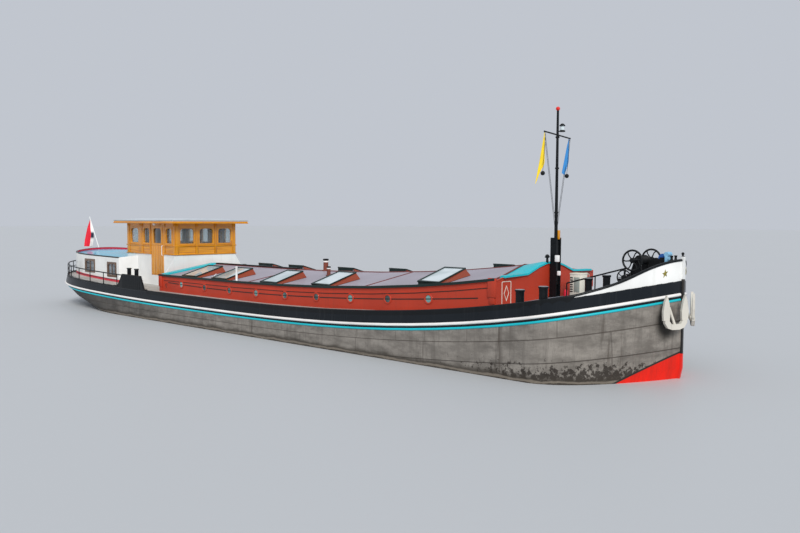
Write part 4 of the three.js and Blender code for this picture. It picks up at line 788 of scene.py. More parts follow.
def roof_paint(name, light, dark):
    """Wheelhouse roof: pale grey-blue canvas on top and varnished wood at the edges and below; a band round
    the top of the edge takes the canvas's pale colour too, partly as a painted highlight along that edge.
    """
    finish, g, shader, spot = new_finish(name)
    wood = g.group(wood_grain(), {"Vector": spot, "Light": (*light, 1), "Dark": (*dark, 1)})
    up = g.axes(g.node("NewGeometry").outputs["Normal"])[2]
    # Pale band round the top of the roof's edge: canvas colour, and partly a painted highlight where the edge
    # catches the light.
    rim = g.between(g.axes(spot)[2], DRAFT + RIM - 0.042, DRAFT + RIM - 0.036)
    top = g.math("MAXIMUM", g.between(up, 0.5, 0.7), rim)
    cloth = g.mix(g.noise(spot, 3.0, 5.0), (0.50, 0.55, 0.60, 1), (0.66, 0.70, 0.74, 1))
    g.feed(shader.inputs["Base Color"], g.mix(top, wood["Color"], cloth))
    g.feed(shader.inputs["Roughness"], g.math("MULTIPLY_ADD", top, 0.3, wood["Roughness"]))
    rough_skin(g, shader, wood["Height"], 0.0015)
    return finish


def flag_cloth(name, bands, patch=None):
    """Thin cloth whose colours follow its own map across: each band is (start, colour), and a patch of
    another colour may lie half way down. A slow noise darkens and lightens it as painted fold shading.
    Fine threads cross in the bump."""
    finish, g, shader, spot = new_finish(name)
    uv = g.node("UVMap", uv_map="UVMap").outputs[0]
    across, down = g.axes(uv)[0], g.axes(uv)[1]
    color = (*bands[0][1], 1)
    for start, shade in bands[1:]:
        color = g.mix(g.between(across, start - 0.01, start + 0.01), color, (*shade, 1))
    if patch:
        inside = g.math("MULTIPLY", g.line(across, 0.83, 0.24), g.line(down, 0.56, 0.16))
        color = g.mix(inside, color, (*patch, 1))
    # Painted shade: a slow noise multiplies the colour, darker and lighter, in place of shading in the folds.
    soft = g.noise(spot, 5.0, 3.0)
    tone = g.math("MULTIPLY_ADD", soft, 0.5, 0.75)
    g.feed(shader.inputs["Base Color"],
           g.mix(1.0, color, g.node("CombineColor", {0: tone, 1: tone, 2: tone}).outputs[0], "MULTIPLY"))
    g.feed(shader.inputs["Roughness"], g.math("MULTIPLY_ADD", soft, 0.1, 0.75))
    shader.inputs["Sheen Weight"].default_value = 0.2
    threads = g.math("ADD", g.math("SINE", g.math("MULTIPLY", across, 1600.0)),
                     g.math("SINE", g.math("MULTIPLY", down, 3000.0)))
    rough_skin(g, shader, threads, 0.0004, 0.3)
    return finish


def srgb(code):
    """A colour of six hexadecimal digits as linear light."""
    value = np.array([int(code[i:i + 2], 16) / 255 for i in (0, 2, 4)])
    linear = np.where(value <= 0.04045, value / 12.92, ((value + 0.055) / 1.055) ** 2.4)
    return tuple(float(v) for v in linear)


FINISH = {}


def make_finishes():
    """All the finishes, by name."""
    colours = bpy.context.scene.barge_colours
    amber, oak = tuple(colours.varnish), srgb("bd710f")
    FINISH.update(
        hull=hull_plates("hull_plates"),
        deck=deck_paint("deck_paint"),
        stem=stem_paint("stem_paint"),
        black=paint("black_gloss", srgb("14171a"), 0.22, 0.3, 0.15, grime=(0.03, 0.03, 0.03), coat=0.05,
                    shine=0.15),
        dull_black=paint("black_worn", srgb("181a1c"), 0.4, 0.4, 0.4, grime=(0.03, 0.028, 0.025), coat=0.0,
                         shine=0.2),
        dark_trim=paint("dark_green_trim", srgb("1b2b29"), 0.25, 0.2, 0.05, grime=(0.03, 0.04, 0.04),
                        coat=0.1, shine=0.2),
        white=paint("white_gloss", tuple(colours.white), 0.28, 0.14, 0.06, grime=(0.45, 0.43, 0.38)),
        cabin=cabin_paint("cabin_side", tuple(colours.white), srgb("d21f3a")),
        red=paint("coaming_red", tuple(colours.red), 0.42, 0.2, 0.12, grime=(0.2, 0.05, 0.03)),
        deep_red=paint("ridge_red", srgb("6e2a22"), 0.45, 0.3, 0.15, grime=(0.1, 0.04, 0.03)),
        bright_red=paint("signal_red", srgb("d3203a"), 0.3, 0.1, 0.03),
        strake_white=paint("strake_white", srgb("f4f1ee"), 0.3, 0.1, 0.12, grime=(0.45, 0.36, 0.28)),
        turquoise=paint("turquoise_gloss", tuple(colours.turquoise), 0.32, 0.08, 0.04,
                        grime=(0.05, 0.3, 0.3)),
        cover=paint("cover_lilac", tuple(colours.covers), 0.5, 0.15, 0.03, grime=(0.30, 0.28, 0.31)),
        cabin_roof=paint("cabin_roof_blue", tuple(colours.cabin_roof), 0.06, 0.05, 0.01,
                         grime=(0.2, 0.35, 0.4), coat=0.15),
        cream=paint("cream_paint", srgb("e8e4d6"), 0.4, 0.2, 0.08, grime=(0.4, 0.33, 0.24)),
        roof_edge=paint("roof_edge_grey", srgb("b9c2c6"), 0.4, 0.2, 0.05),
        grey=paint("vent_grey", srgb("9aa39c"), 0.45, 0.25, 0.05),
        anchor=paint("anchor_cream", srgb("d6d2c8"), 0.5, 0.75, 0.6, grime=(0.16, 0.13, 0.1)),
        rusty=paint("rust_brown", srgb("7c4032"), 0.7, 0.5, 0.5, grime=(0.05, 0.03, 0.02)),
        blue=paint("engine_blue", srgb("35506b"), 0.4, 0.2, 0.2),
        rope_blue=paint("rope_blue", srgb("2c62b0"), 0.7, 0.3, 0.0),
        pale_blue=paint("winch_blue", srgb("8cc4e6"), 0.35, 0.15, 0.05),
        bronze=paint("bronze", srgb("a07c3a"), 0.3, 0.3, 0.0, metallic=0.9, grime=(0.1, 0.12, 0.06)),
        steel=paint("galvanised_steel", srgb("a8abad"), 0.35, 0.3, 0.1, metallic=0.8),
        gold=paint("gold_leaf", srgb("8f8440"), 0.3, 0.15, 0.0, metallic=0.6, grime=(0.2, 0.18, 0.08)),
        wood_x=varnish("varnish_level", amber, oak, "X"),
        wood_y=varnish("varnish_across", amber, oak, "Y"),
        wood_z=varnish("varnish_upright", amber, oak, "Z"),
        roof=roof_paint("wheelhouse_roof", amber, oak),
        teak=paint("skylight_board", srgb("8c3a20"), 0.35, 0.25, 0.1, grime=(0.1, 0.04, 0.02)),
        brown_wood=varnish("varnish_brown", srgb("7c5a3c"), srgb("3f2a1a"), "Z"),
        glass=window_glass("window_glass"),
        sky_glass=pane("skylight_pane", srgb("d9e6ea"), srgb("b4c6c8")),
        port_glass=pane("porthole_glass", srgb("74a8a6"), srgb("1f3436")),
        cabin_glass=pane("cabin_glass", srgb("8a949c"), srgb("20262c")),
        lamp_red=paint("lamp_red", srgb("e02418"), 0.25, 0.05, 0.0),
        flag=flag_cloth("flag_cloth", [(0.0, srgb("e01230")), (0.6, srgb("f2f2f0"))], srgb("14243c")),
        pennant_yellow=flag_cloth("pennant_yellow", [(0.0, srgb("f2d21e"))]),
        pennant_blue=flag_cloth("pennant_blue", [(0.0, srgb("2f86c9"))]),
    )


def dress(finish, *nodes):
    """Gives CAD nodes a finish."""
    for name in nodes:
        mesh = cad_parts[name].data
        mesh.materials.clear()
        mesh.materials.append(FINISH[finish])


# Properties


class BargeColours(bpy.types.PropertyGroup):
    """Paint colours a user would change."""

    white: FloatVectorProperty(
        name="White", description="Wheelhouse base, cabin and bow panel", subtype="COLOR", size=3,
        min=0, max=1, default=srgb("f0f1ef"))
    red: FloatVectorProperty(
        name="Coaming red", description="Hold coaming and headboards", subtype="COLOR", size=3,
        min=0, max=1, default=srgb("b93a22"))
    turquoise: FloatVectorProperty(
        name="Turquoise", description="Lower rubbing bar and hatch end caps", subtype="COLOR", size=3,
        min=0, max=1, default=srgb("0fbecb"))
    covers: FloatVectorProperty(
        name="Covers", description="Hatch covers", subtype="COLOR", size=3,
        min=0, max=1, default=srgb("a39da8"))
    cabin_roof: FloatVectorProperty(
        name="Cabin roof", description="Aft cabin roof", subtype="COLOR", size=3,
        min=0, max=1, default=srgb("45b9dc"))
    varnish: FloatVectorProperty(
        name="Varnish", description="Wheelhouse woodwork", subtype="COLOR", size=3,
        min=0, max=1, default=srgb("f4a81a"))


class BargeSizes(bpy.types.PropertyGroup):
    """Sizes of the trim a user would change."""

    skin: FloatProperty(
        name="Plating", description="How far the plating stands off the hull's solid", unit="LENGTH",
        default=0.006, min=0.002, max=0.02)
    plate_step: FloatProperty(
        name="Plate step", description="How far an outer strake of plating stands over an inner one",
        unit="LENGTH", default=0.006, min=0, max=0.02)
    porthole: FloatProperty(
        name="Porthole", description="Radius of a porthole's glass", unit="LENGTH", default=0.095, min=0.05,
        max=0.14)
    wheel_spokes: FloatProperty(
        name="Spoke radius", description="Radius of the windlass wheels' spokes", unit="LENGTH",
        default=0.014, min=0.005, max=0.03)


class BargeView(bpy.types.PropertyGroup):
    """The camera and the light."""

    lens: FloatProperty(name="Lens", description="Focal length", unit="CAMERA", default=35.1, min=10, max=200)
    yaw: FloatProperty(
        name="Yaw", description="Camera heading from the bow direction", subtype="ANGLE",
        default=math.radians(132.245))
    pitch: FloatProperty(
        name="Pitch", description="Camera tilt above the horizon", subtype="ANGLE",
        default=math.radians(-3.27))
    roll: FloatProperty(
        name="Roll", description="Camera roll", subtype="ANGLE", default=math.radians(0.27))
    eye: FloatVectorProperty(
        name="Eye", description="Camera place in the ship frame", unit="LENGTH", size=3,
        default=(6.376, -15.547, 3.17))
    sky: FloatProperty(name="Sky", description="Strength of the even studio light", default=0.62, min=0)
    sun: FloatProperty(name="Key", description="Strength of the soft key light", default=2.3, min=0)


# Hull


PLATE_BACK = 0.004
BOW_SHARES = np.linspace(0, 1, 44) ** 2.2
STERN_SHARES = 1 - (1 - np.linspace(0, 1, 60)) ** 2.4
MIDDLE_SHARES = np.linspace(0, 1, 16)[1:-1]


def hull_side(row):
    """Starboard points of the hull from stem to stern at a row of its levels. Bow stations are shares of
    the bow, middle ones are even, stern ones are shares of the stern, and between two levels each point
    runs straight from one to the next. Row 7 is the strake and row 8 the edge of the deck. A row may be
    one number or one for each station."""
    table = np.vstack([LEVELS, LEVELS[-1]])
    table[-1, 1], table[-1, 3] = DECK_INSET, DECK_END
    lines = []
    for share, inset, foot, end, run, entry in table:
        bow = foot + (BOW_END - foot / 2) * BOW_SHARES
        middle = bow[-1] + (RUN_START - bow[-1]) * MIDDLE_SHARES
        aft = np.concatenate([bow, middle, RUN_START + (end - RUN_START) * STERN_SHARES])
        half = half_breadth(aft, inset, foot, end, run, entry)
        lines.append(np.stack([aft, half, (strake_height(aft) + DRAFT) * share - DRAFT], axis=-1))
    lines[-1][:, 2] = strake_height(lines[-1][:, 0]) + DECK_RISE
    lines = np.stack(lines)
    row = np.broadcast_to(np.asarray(row, dtype=float), (lines.shape[1],))
    low = np.minimum(row.astype(int), len(lines) - 2)
    share = (row - low)[:, None]
    spot = np.arange(lines.shape[1])
    return lines[low, spot] * (1 - share) + lines[low + 1, spot] * share


def round_ship(side):
    """Starboard (aft, half, height) points made a path in the row frame from starboard at the stern,
    round the stem and back on the port side."""
    starboard = at(side[::-1, 0], -side[::-1, 1], side[::-1, 2])
    return np.vstack([starboard, mirrored(starboard[::-1])])


PANEL_END = 1.35
PANEL_EDGE = 0.008
NEAR_BOW = PANEL_END * np.linspace(1, 0.045, 40) ** 2


def panel_height(aft):
    """Height of the bow panel over the deck: straight between a few heights, then averaged over a short
    run so that its corners are round. Aft of the panel a narrow edge is left."""
    steps = np.array([-0.12, -0.06, 0.0, 0.06, 0.12])
    afts = (0.0, 0.08, 0.3, 0.5, 0.75, 1.2, 30.0)
    heights = (0.42, 0.395, 0.32, 0.18, 0.09, PANEL_EDGE, PANEL_EDGE)
    return np.mean([np.interp(np.abs(aft + step), afts, heights) for step in steps], axis=0)


def deck_edge_path(aft):
    """A path along the deck's edge and round the bow, at stations given aft of the stem."""
    return round_ship(np.stack([aft, deck_edge(aft), strake_height(aft) + DECK_RISE], axis=-1)[::-1])


def changing_section(*pairs):
    """A section whose heights change along its path, from (out, heights) pairs."""
    return np.stack([np.stack(np.broadcast_arrays(side, up), axis=-1) for side, up in pairs], axis=1)


def both_sides(half):
    """A path down the starboard side to the middle line, and its mirror back."""
    return np.vstack([half, mirrored(half[:-1][::-1])])


class BARGE_OT_plating(bpy.types.Operator):
    """Rows up the side, two close together where an outer strake of plates laps an inner one, pushed
    out along the surface's normal; a second sheet just inside closes the shell."""

    bl_idname = "barge.plating"
    bl_label = "Plating"

    def execute(self, context):
        sizes = context.scene.barge_sizes
        skin, step = sizes.skin, sizes.plate_step
        rises = np.array([0.0325, 0.08, 0.121, 0.18, 0.242, 0.3, 0.36, 0.364, 0.45, 0.53, 0.598, 0.602, 0.637,
                          0.7, 0.76, 0.803, 0.807, 0.82, 0.9, 1.0])
        outer = np.where((rises < 0.362) | ((rises > 0.6) & (rises < 0.805)), 1.0, 0.0)
        rows = np.concatenate([np.interp(rises, LEVELS[:, 0], np.arange(8.0)), [7.3, 7.65, 7.98]])
        stand = skin + step * np.concatenate([outer, np.zeros(3)])
        side = np.stack([hull_side(row) for row in rows])
        starboard = at(side[..., 0], -side[..., 1], side[..., 2])
        port = mirrored(starboard[:, 1:-1][:, ::-1])
        points = np.concatenate([starboard, port], axis=1)
        along = np.roll(points, -1, axis=1) - np.roll(points, 1, axis=1)
        base = np.stack([hull_side(row) for row in rows + 0.02])
        over = at(base[..., 0], -base[..., 1], base[..., 2])
        over = np.concatenate([over, mirrored(over[:, 1:-1][:, ::-1])], axis=1)
        normal = unit(np.cross(along, over - points))
        keel = np.zeros(points.shape[1], dtype=bool)
        keel[[0, starboard.shape[1] - 1]] = True
        normal[:, keel, 1] = 0
        middle = points[:, :, :2].mean(axis=(0, 1))
        flip = np.sign(np.sum(normal[..., :2] * (points[..., :2] - middle), axis=-1, keepdims=True))
        normal = unit(normal * np.where(flip == 0, 1, flip))
        shell = points + normal * stand[:, None, None]
        inside = points - normal * PLATE_BACK
        body = np.concatenate([shell, inside[::-1], shell[:1]])
        aft = STEM_X - points[..., 0]
        share = np.concatenate([rises, 1 + np.array([0.1, 0.2, 0.3])])
        uv = np.stack([aft, np.broadcast_to(share[:, None], aft.shape)], axis=-1)
        uv = np.concatenate([uv, uv[::-1], uv[:1]])
        Shape().grid(body, uv=uv).make("hull_plating", ["hull"], slot="hull_paint", sharp=30)
        return {"FINISHED"}


class BARGE_OT_rubbing_bars(bpy.types.Operator):
    """Bars whose section is a half ellipse, carried along the side at a height over the strake row."""

    bl_idname = "barge.rubbing_bars"
    bl_label = "Rubbing bars"

    def execute(self, context):
        angle = np.linspace(0, 2 * np.pi, 14, endpoint=False)
        upper, lower = hull_side(STRAKE_ROW), hull_side(STRAKE_ROW - 1)
        bars = (("strake_white", "strake_white", 0.0, 0.034, 0.033, "strake_white"),
                ("strake_turquoise", "turquoise", -0.105, 0.027, 0.027, "strake_turquoise"))
        for name, finish, drop, out, up, slot in bars:
            share = (-drop / (upper[:, 2] - lower[:, 2]))[:, None]
            side = upper * (1 - share) + lower * share
            side[:, 2] = upper[:, 2] + drop
            path = round_ship(side[int(np.argmax(side[:, 1] > 0.05)):])
            half = len(path) // 2
            path = np.vstack([path[half:][:-1], path[:half]])
            section = np.stack([np.maximum(-0.018, out * np.cos(angle)), up * np.sin(angle)], axis=-1)
            rows = sweep(path[::-1], section * [-1, 1], upright=True)
            Shape().grid(rows, caps=True).make(name + "_bar", [finish], replaces=[name], slot=slot)
        return {"FINISHED"}


class BARGE_OT_bow_panel(bpy.types.Operator):
    """A white plate that stands on the deck's edge round the bow, with the height that panel_height gives"""

    bl_idname = "barge.bow_panel"
    bl_label = "Bow panel"

    def execute(self, context):
        path = deck_edge_path(NEAR_BOW)
        high = panel_height(STEM_X - path[:, 0])
        low = np.full_like(high, -0.004)
        section = changing_section((-0.002, low), (-0.001, (low + high) / 2), (-0.002, high), (-0.034, high),
                                   (-0.034, low - 0.06), (-0.012, low - 0.06))
        Shape().grid(sweep(path, section, upright=True), caps=True).make(
            "bow_panel", ["white"], replaces=["bow_bulwark"], slot="white_paint")
        return {"FINISHED"}


class BARGE_OT_gunwale(bpy.types.Operator):
    """A rounded bar that runs along the deck's edge and climbs over the bow panel"""

    bl_idname = "barge.gunwale"
    bl_label = "Gunwale"

    def execute(self, context):
        far = np.linspace(16.48, PANEL_END, 70)[:-1]
        path = deck_edge_path(np.concatenate([far, NEAR_BOW]))
        aft = STEM_X - path[:, 0]
        high = panel_height(aft)
        lift = np.maximum(0, high - PANEL_EDGE)
        foot = np.interp(aft, (1.22, 1.30), (0.0, 1.0)) * (-0.085 - high) + high - 0.002
        section = changing_section(
            (0.009, foot), (0.013, lift + 0.012), (0.012, lift + 0.03), (0.004, lift + 0.044),
            (-0.012, lift + 0.05), (-0.032, lift + 0.05), (-0.046, lift + 0.042), (-0.052, lift + 0.028),
            (-0.05, lift + 0.01), (-0.048, np.maximum(foot, -0.03)))
        Shape().grid(sweep(path, section, upright=True), caps=True).make(
            "gunwale", ["black"], replaces=["gunwale_cap"], slot="black_steel", sharp=50)
        return {"FINISHED"}


class BARGE_OT_stem_knob(bpy.types.Operator):
    """A turned knob on the stem's head"""

    bl_idname = "barge.stem_knob"
    bl_label = "Stem knob"

    def execute(self, context):
        knob = Shape()
        knob.grid(turned([(0, -0.03), (0.022, -0.03), (0.026, 0.0), (0.016, 0.02), (0.03, 0.045),
                          (0.03, 0.062), (0.016, 0.08), (0, 0.084)], place(0.0, 0.0, 2.5), sides=14))
        knob.make("stem_knob", ["dull_black"], slot="black_steel")
        return {"FINISHED"}


class BARGE_OT_bow_stars(bpy.types.Operator):
    """A raised five-pointed star on each side of the bow panel"""

    bl_idname = "barge.bow_stars"
    bl_label = "Bow stars"

    def execute(self, context):
        turn = np.pi / 2 + np.arange(10) * np.pi / 5
        radius = np.where(np.arange(10) % 2 == 0, 0.085, 0.036)
        star = np.stack([radius * np.cos(turn), radius * np.sin(turn)], axis=-1)
        shape = Shape()
        for side in (-1, 1):
            spot, near = 0.14, 0.10
            origin = at(spot, side * deck_edge(spot), 2.165)
            along = at(near, side * deck_edge(near), 2.165) - origin
            along[2] = 0.03
            across = np.array([0, 0, 1.0])
            u, v = (along, across) if side < 0 else (-along, across)
            out = np.cross(unit(u), unit(v))
            rows = np.stack([on_plane(star * k, origin + out * lift, u, v) for k, lift in (
                (0.0, -0.012), (1.0, -0.012), (1.0, 0.004), (0.0, 0.016))])
            shape.grid(rows)
        shape.make("bow_stars", ["gold"], slot="bronze", sharp=10)
        return {"FINISHED"}


# Hold


def along_coaming(side, out, up, fore=HOLD_FORE + 0.045, aft=HOLD_AFT - 0.045):
    """A path along the coaming, out from its face and up from its line, with a point at every frame."""
    afts = np.array([fore, *[f for f in FRAMES if fore < f < aft], aft])
    return at(afts, side * (COAMING_HALF + out), coaming_top(afts) + up)


def porthole_height(aft):
    """Height of the portholes and of the line behind them: a shallow parabola along the ship."""
    return 1.933 - 0.126 * aft + 0.005 * aft ** 2


def bar(path, low, high, side, radius=0.003):
    """A small rectangular bar along a path, with chamfered edges."""
    return sweep(path, rounded(low, high, radius, 1) * [-side, 1], upright=True)


class BARGE_OT_coaming_trim(bpy.types.Operator):
    """Dark strip over the rim, dark lines along the face, and the blocks at the coaming's ends."""

    bl_idname = "barge.coaming_trim"
    bl_label = "Coaming trim"

    def execute(self, context):
        dark, red = Shape(), Shape()
        for side in (-1, 1):
            rim = along_coaming(side, 0.0, 0.0, HOLD_FORE + 0.02, HOLD_AFT - 0.01)
            dark.grid(bar(rim, (-0.0415, -0.018), (0.026, 0.045), side, 0.006), caps=True)
            under = along_coaming(side, 0.0, -0.15, HOLD_FORE + 0.2, HOLD_AFT - 0.3)
            dark.grid(bar(under, (-0.01, -0.009), (0.005, 0.006), side), caps=True)
            afts = np.linspace(3.6, 15.9, 40)
            middle = at(afts, side * COAMING_HALF, porthole_height(afts))
            dark.grid(bar(middle, (-0.01, -0.011), (0.006, 0.011), side), caps=True)
            for fore, aft in ((3.125, 3.33), (16.25, 16.44)):
                top = float(coaming_top((fore + aft) / 2))
                low = at(aft, side * 2.05, top - 0.36)
                red.grid(block(low, at(fore, side * 2.105, top + 0.05), 0.012))
                red.grid(block(at(aft - 0.03, side * 2.05, top - 0.5),
                               at(fore + 0.03, side * 2.09, top - 0.3), 0.01))
            hook = at(np.array([15.98, 15.98, 15.97, 15.9]), side * np.array([2.07, 2.12, 2.125, 2.125]),
                      float(coaming_top(16.0)) + np.array([-0.25, -0.26, -0.31, -0.36]))
            dark.grid(tube(hook, 0.008, 8, up=(1, 0, 0)), caps=True)
        dark.make("coaming_trim", ["dark_trim"], slot="red_paint")
        red.make("coaming_ends", ["red"], slot="red_paint")
        return {"FINISHED"}


class BARGE_OT_portholes(bpy.types.Operator):
    """Each is a turned rim round a slightly domed glass, square to the coaming."""

    bl_idname = "barge.portholes"
    bl_label = "Portholes"

    def execute(self, context):
        radius = context.scene.barge_sizes.porthole
        shape = Shape()
        afts = PORTHOLE_AFT - PORTHOLE_STEP * np.arange(PORTHOLES)
        rim = [(radius - 0.012, -0.01), (radius - 0.01, 0.012), (radius, 0.02), (radius + 0.022, 0.018),
               (radius + 0.03, 0.008), (radius + 0.03, -0.01), (radius - 0.012, -0.01)]
        glass = [(0, 0.006), (radius * 0.6, 0.005), (radius - 0.008, 0.002), (radius - 0.008, -0.006),
                 (0, -0.006)]
        for side in (-1, 1):
            for aft in afts:
                centre = at(aft, side * COAMING_HALF, porthole_height(aft))
                shape.grid(turned(rim, centre, (0, side, 0), 24))
                shape.grid(turned(glass, centre, (0, side, 0), 24), slot=1)
        shape.make("portholes", ["red", "port_glass"], slot="red_paint")
        return {"FINISHED"}


class BARGE_OT_ridge_plank(bpy.types.Operator):
    """A plank along the ridge, with a dark raised strip on its after half"""

    bl_idname = "barge.ridge_plank"
    bl_label = "Ridge plank"

    def execute(self, context):
        plank = Shape()
        afts = np.array([3.74, *[f for f in FRAMES if 3.74 < f < 16.2], 16.2])
        ridge = at(afts, 0, roof_top(afts, 0.0))
        plank.grid(sweep(ridge, [(-0.085, -0.012), (0.085, -0.012), (0.085, 0.01), (0.07, 0.018),
                                 (-0.07, 0.018), (-0.085, 0.01)], upright=True), caps=True)
        afts = np.array([11.95, 12.2, 14.2, 16.2])
        plank.grid(sweep(at(afts, 0, roof_top(afts, 0.0) + 0.012),
                         rounded((-0.07, 0.0), (0.07, 0.04), 0.008, 2), upright=True), caps=True, slot=1)
        plank.make("ridge_plank", ["deep_red", "dull_black"], slot="cover_paint")
        return {"FINISHED"}


class BARGE_OT_cover_laths(bpy.types.Operator):
    """Laths along the fore cap's edge and over the joints of the covers"""

    bl_idname = "barge.cover_laths"
    bl_label = "Cover laths"

    def execute(self, context):
        lath = Shape()
        y = np.linspace(1.99, 0.0, 8)
        edge = 3.2 + 0.58 * (1 - np.minimum(1, y / 1.85)) + 0.012
        half = at(edge, -y, roof_top(edge, y) + 0.012)
        lath.grid(tube(both_sides(half), 0.022, 8), caps=True)
        for joint in (7.202, 11.902):
            y = np.array([-1.99, -1.0, -0.1, 0.1, 1.0, 1.99])
            path = at(np.full(6, joint), y, roof_top(joint, y) + 0.003)
            lath.grid(sweep(path, [(-0.03, -0.012), (0.03, -0.012), (0.024, 0.008), (-0.024, 0.008)],
                            upright=True), caps=True)
        lath.make("cover_laths", ["deep_red"], slot="cover_paint")
        return {"FINISHED"}


class BARGE_OT_cover_posts(bpy.types.Operator):
    """A white post and a small latch on the starboard covers"""

    bl_idname = "barge.cover_posts"
    bl_label = "Cover posts"

    def execute(self, context):
        post = Shape()
        foot = float(roof_top(12.41, 1.95))
        post.grid(turned([(0, -0.02), (0.045, -0.02), (0.045, 0.01), (0.032, 0.03), (0.032, 0.4),
                          (0.038, 0.41), (0.038, 0.43), (0.0, 0.445)], at(12.41, -1.95, foot), sides=16))
        latch = at(13.75, -1.8, float(roof_top(13.75, 1.8)))
        post.grid(block(latch + [-0.02, -0.09, -0.01], latch + [0.02, 0.09, 0.05], 0.008))
        post.grid(tube(latch + np.array([(0, 0, 0.04), (0, 0.02, 0.09), (0.02, 0.06, 0.13)]), 0.009, 8),
                  caps=True)
        post.make("cover_posts", ["white"], slot="white_paint")
        return {"FINISHED"}


class BARGE_OT_skylights(bpy.types.Operator):
    """Each lid is a dark frame with a pale crowned pane in it, on the slope from its low edge to its high
    one. It lies where the solid's lid is, so it opens with it."""

    bl_idname = "barge.skylights"
    bl_label = "Skylight lids"

    def execute(self, context):
        for light, (fore, aft) in SKYLIGHTS.items():
            for side, name in ((-1, "stbd"), (1, "port")):
                shape = Shape()
                low_y, high_y = LID_LOW[0] + LID_LIP, LID_HIGH[0] - 0.012
                low = at(aft + LID_LIP, side * low_y, lid_height(light, low_y) + 0.0012)
                up = at(aft + LID_LIP, side * high_y, lid_height(light, high_y) + 0.0012) - low
                length, width = aft - fore + 2 * LID_LIP, float(np.linalg.norm(up))
                u = np.array([1.0, 0, 0])
                if side > 0:
                    low = low + u * length
                    u = -u
                outer = rounded((0, 0), (length, width), 0.006, 2)
                fore_u, aft_u = (0.022, 0.045) if side > 0 else (0.045, 0.022)
                inner = rounded((fore_u, 0.06), (length - aft_u, width - 0.05), 0.012, 2)
                shape.grid(frame_ring(outer, inner, low, u, up, (0.0, LID_THICK), 0.005))
                # The pane is painted pale: a painted sky reflection, not the glass's own colour.
                edge = rounded((fore_u - 0.006, 0.054), (length - aft_u + 0.006, width - 0.044), 0.012, 2)
                crown = [(0.0, 0.008), (1.0, 0.008), (1.0, 0.018), (0.7, 0.021), (0.0, 0.022)]
                centre = edge.mean(axis=0)
                spread = edge - centre
                rows = np.stack([on_plane(centre + spread * k, low, u, up, lift) for k, lift in crown])
                shape.grid(rows, slot=1)
                shape.make(f"skylight_{name}_{light}", ["dark_trim", "sky_glass"],
                           body=f"lid_{name}_{light}_body", replaces=[f"skylight_lid_{name}_{light}"],
                           slot="skylight_wood")
        return {"FINISHED"}


class BARGE_OT_skylight_boards(bpy.types.Operator):
    """The sloping red-brown board before each skylight, folded from its high head to its low foot, and
    the dark plates on the other sides."""

    bl_idname = "barge.skylight_boards"
    bl_label = "Skylight boards"

    def execute(self, context):
        board, walls = Shape(), Shape()
        for light, (fore, aft) in SKYLIGHTS.items():
            y = np.array([LID_HIGH[0], LID_LOW[0]])
            foot = roof_top(fore - BOARD_REACH, y) + 0.004
            for side in (-1, 1):
                top = lid_height(light, y) - 0.003
                front = at(np.full(2, fore - BOARD_REACH), side * y, foot)
                head = at(np.full(2, fore), side * y, top)
                over = front + [0.012, 0, 0.008]
                edge = head + [0.012, 0, 0]
                fold = np.stack([edge[0], over[1]])
                rows = np.stack([front, over, fold, edge, head - [0.02, 0, 0], front - [0.03, 0, 0.02]])
                board.grid(rows.transpose(1, 0, 2), caps=True)
                for edge in (0, 1):
                    yy = y[edge] + (-0.006 if edge == 0 else 0.006)
                    ends = np.array([fore + 0.01, aft + 0.006])
                    low = at(ends, side * yy, roof_top(ends, y[edge]) - 0.01)
                    high = at(ends, side * yy, np.full(2, float(lid_height(light, y[edge]))) - 0.001)
                    inward = np.array([0, side * (0.008 if edge == 0 else -0.008), 0])
                    walls.grid(np.stack([low, high, high + inward, low + inward]).transpose(1, 0, 2),
                               caps=True)
                back_low = at(np.full(2, aft + 0.006), side * y, roof_top(aft, y) - 0.01)
                back_high = at(np.full(2, aft + 0.006), side * y, lid_height(light, y) - 0.001)
                inward = np.array([0.008, 0, 0])
                walls.grid(np.stack([back_low, back_high, back_high + inward,
                                     back_low + inward]).transpose(1, 0, 2), caps=True)
        board.make("skylight_boards", ["teak"], slot="skylight_wood")
        walls.make("skylight_walls", ["dark_trim"], slot="skylight_wood")
        return {"FINISHED"}


class BARGE_OT_stove_pipes(bpy.types.Operator):
    """Two turned stove pipes with a flange, a white ring and a black cowl."""

    bl_idname = "barge.stove_pipes"
    bl_label = "Stove pipes"

    def execute(self, context):
        big = [(0, -0.012), (0.11, -0.012), (0.112, 0.012), (0.1, 0.022), (0.078, 0.028), (0.074, 0.04),
               (0.072, 0.255)]
        band = [(0.072, 0.255), (0.08, 0.257), (0.08, 0.298), (0.072, 0.3)]
        cowl = [(0.072, 0.3), (0.07, 0.31), (0.084, 0.315), (0.086, 0.345), (0.078, 0.355), (0.04, 0.361),
                (0, 0.362)]
        shape = Shape()
        profile = np.array(big + band[1:] + cowl[1:])
        slots = np.repeat([0, 1, 2], [len(big) - 1, len(band) - 1, len(cowl) - 1])
        for aft, y, size in ((10.7, 0.0, 1.0), (9.9, -0.62, 0.72)):
            shape.grid(turned(profile * size, at(aft, y, roof_top(aft, y))), slot=slots[:, None])
        shape.make("stove_pipes", ["rusty", "strake_white", "dull_black"], replaces=["stack"],
                   slot="rusty_stack")
        return {"FINISHED"}


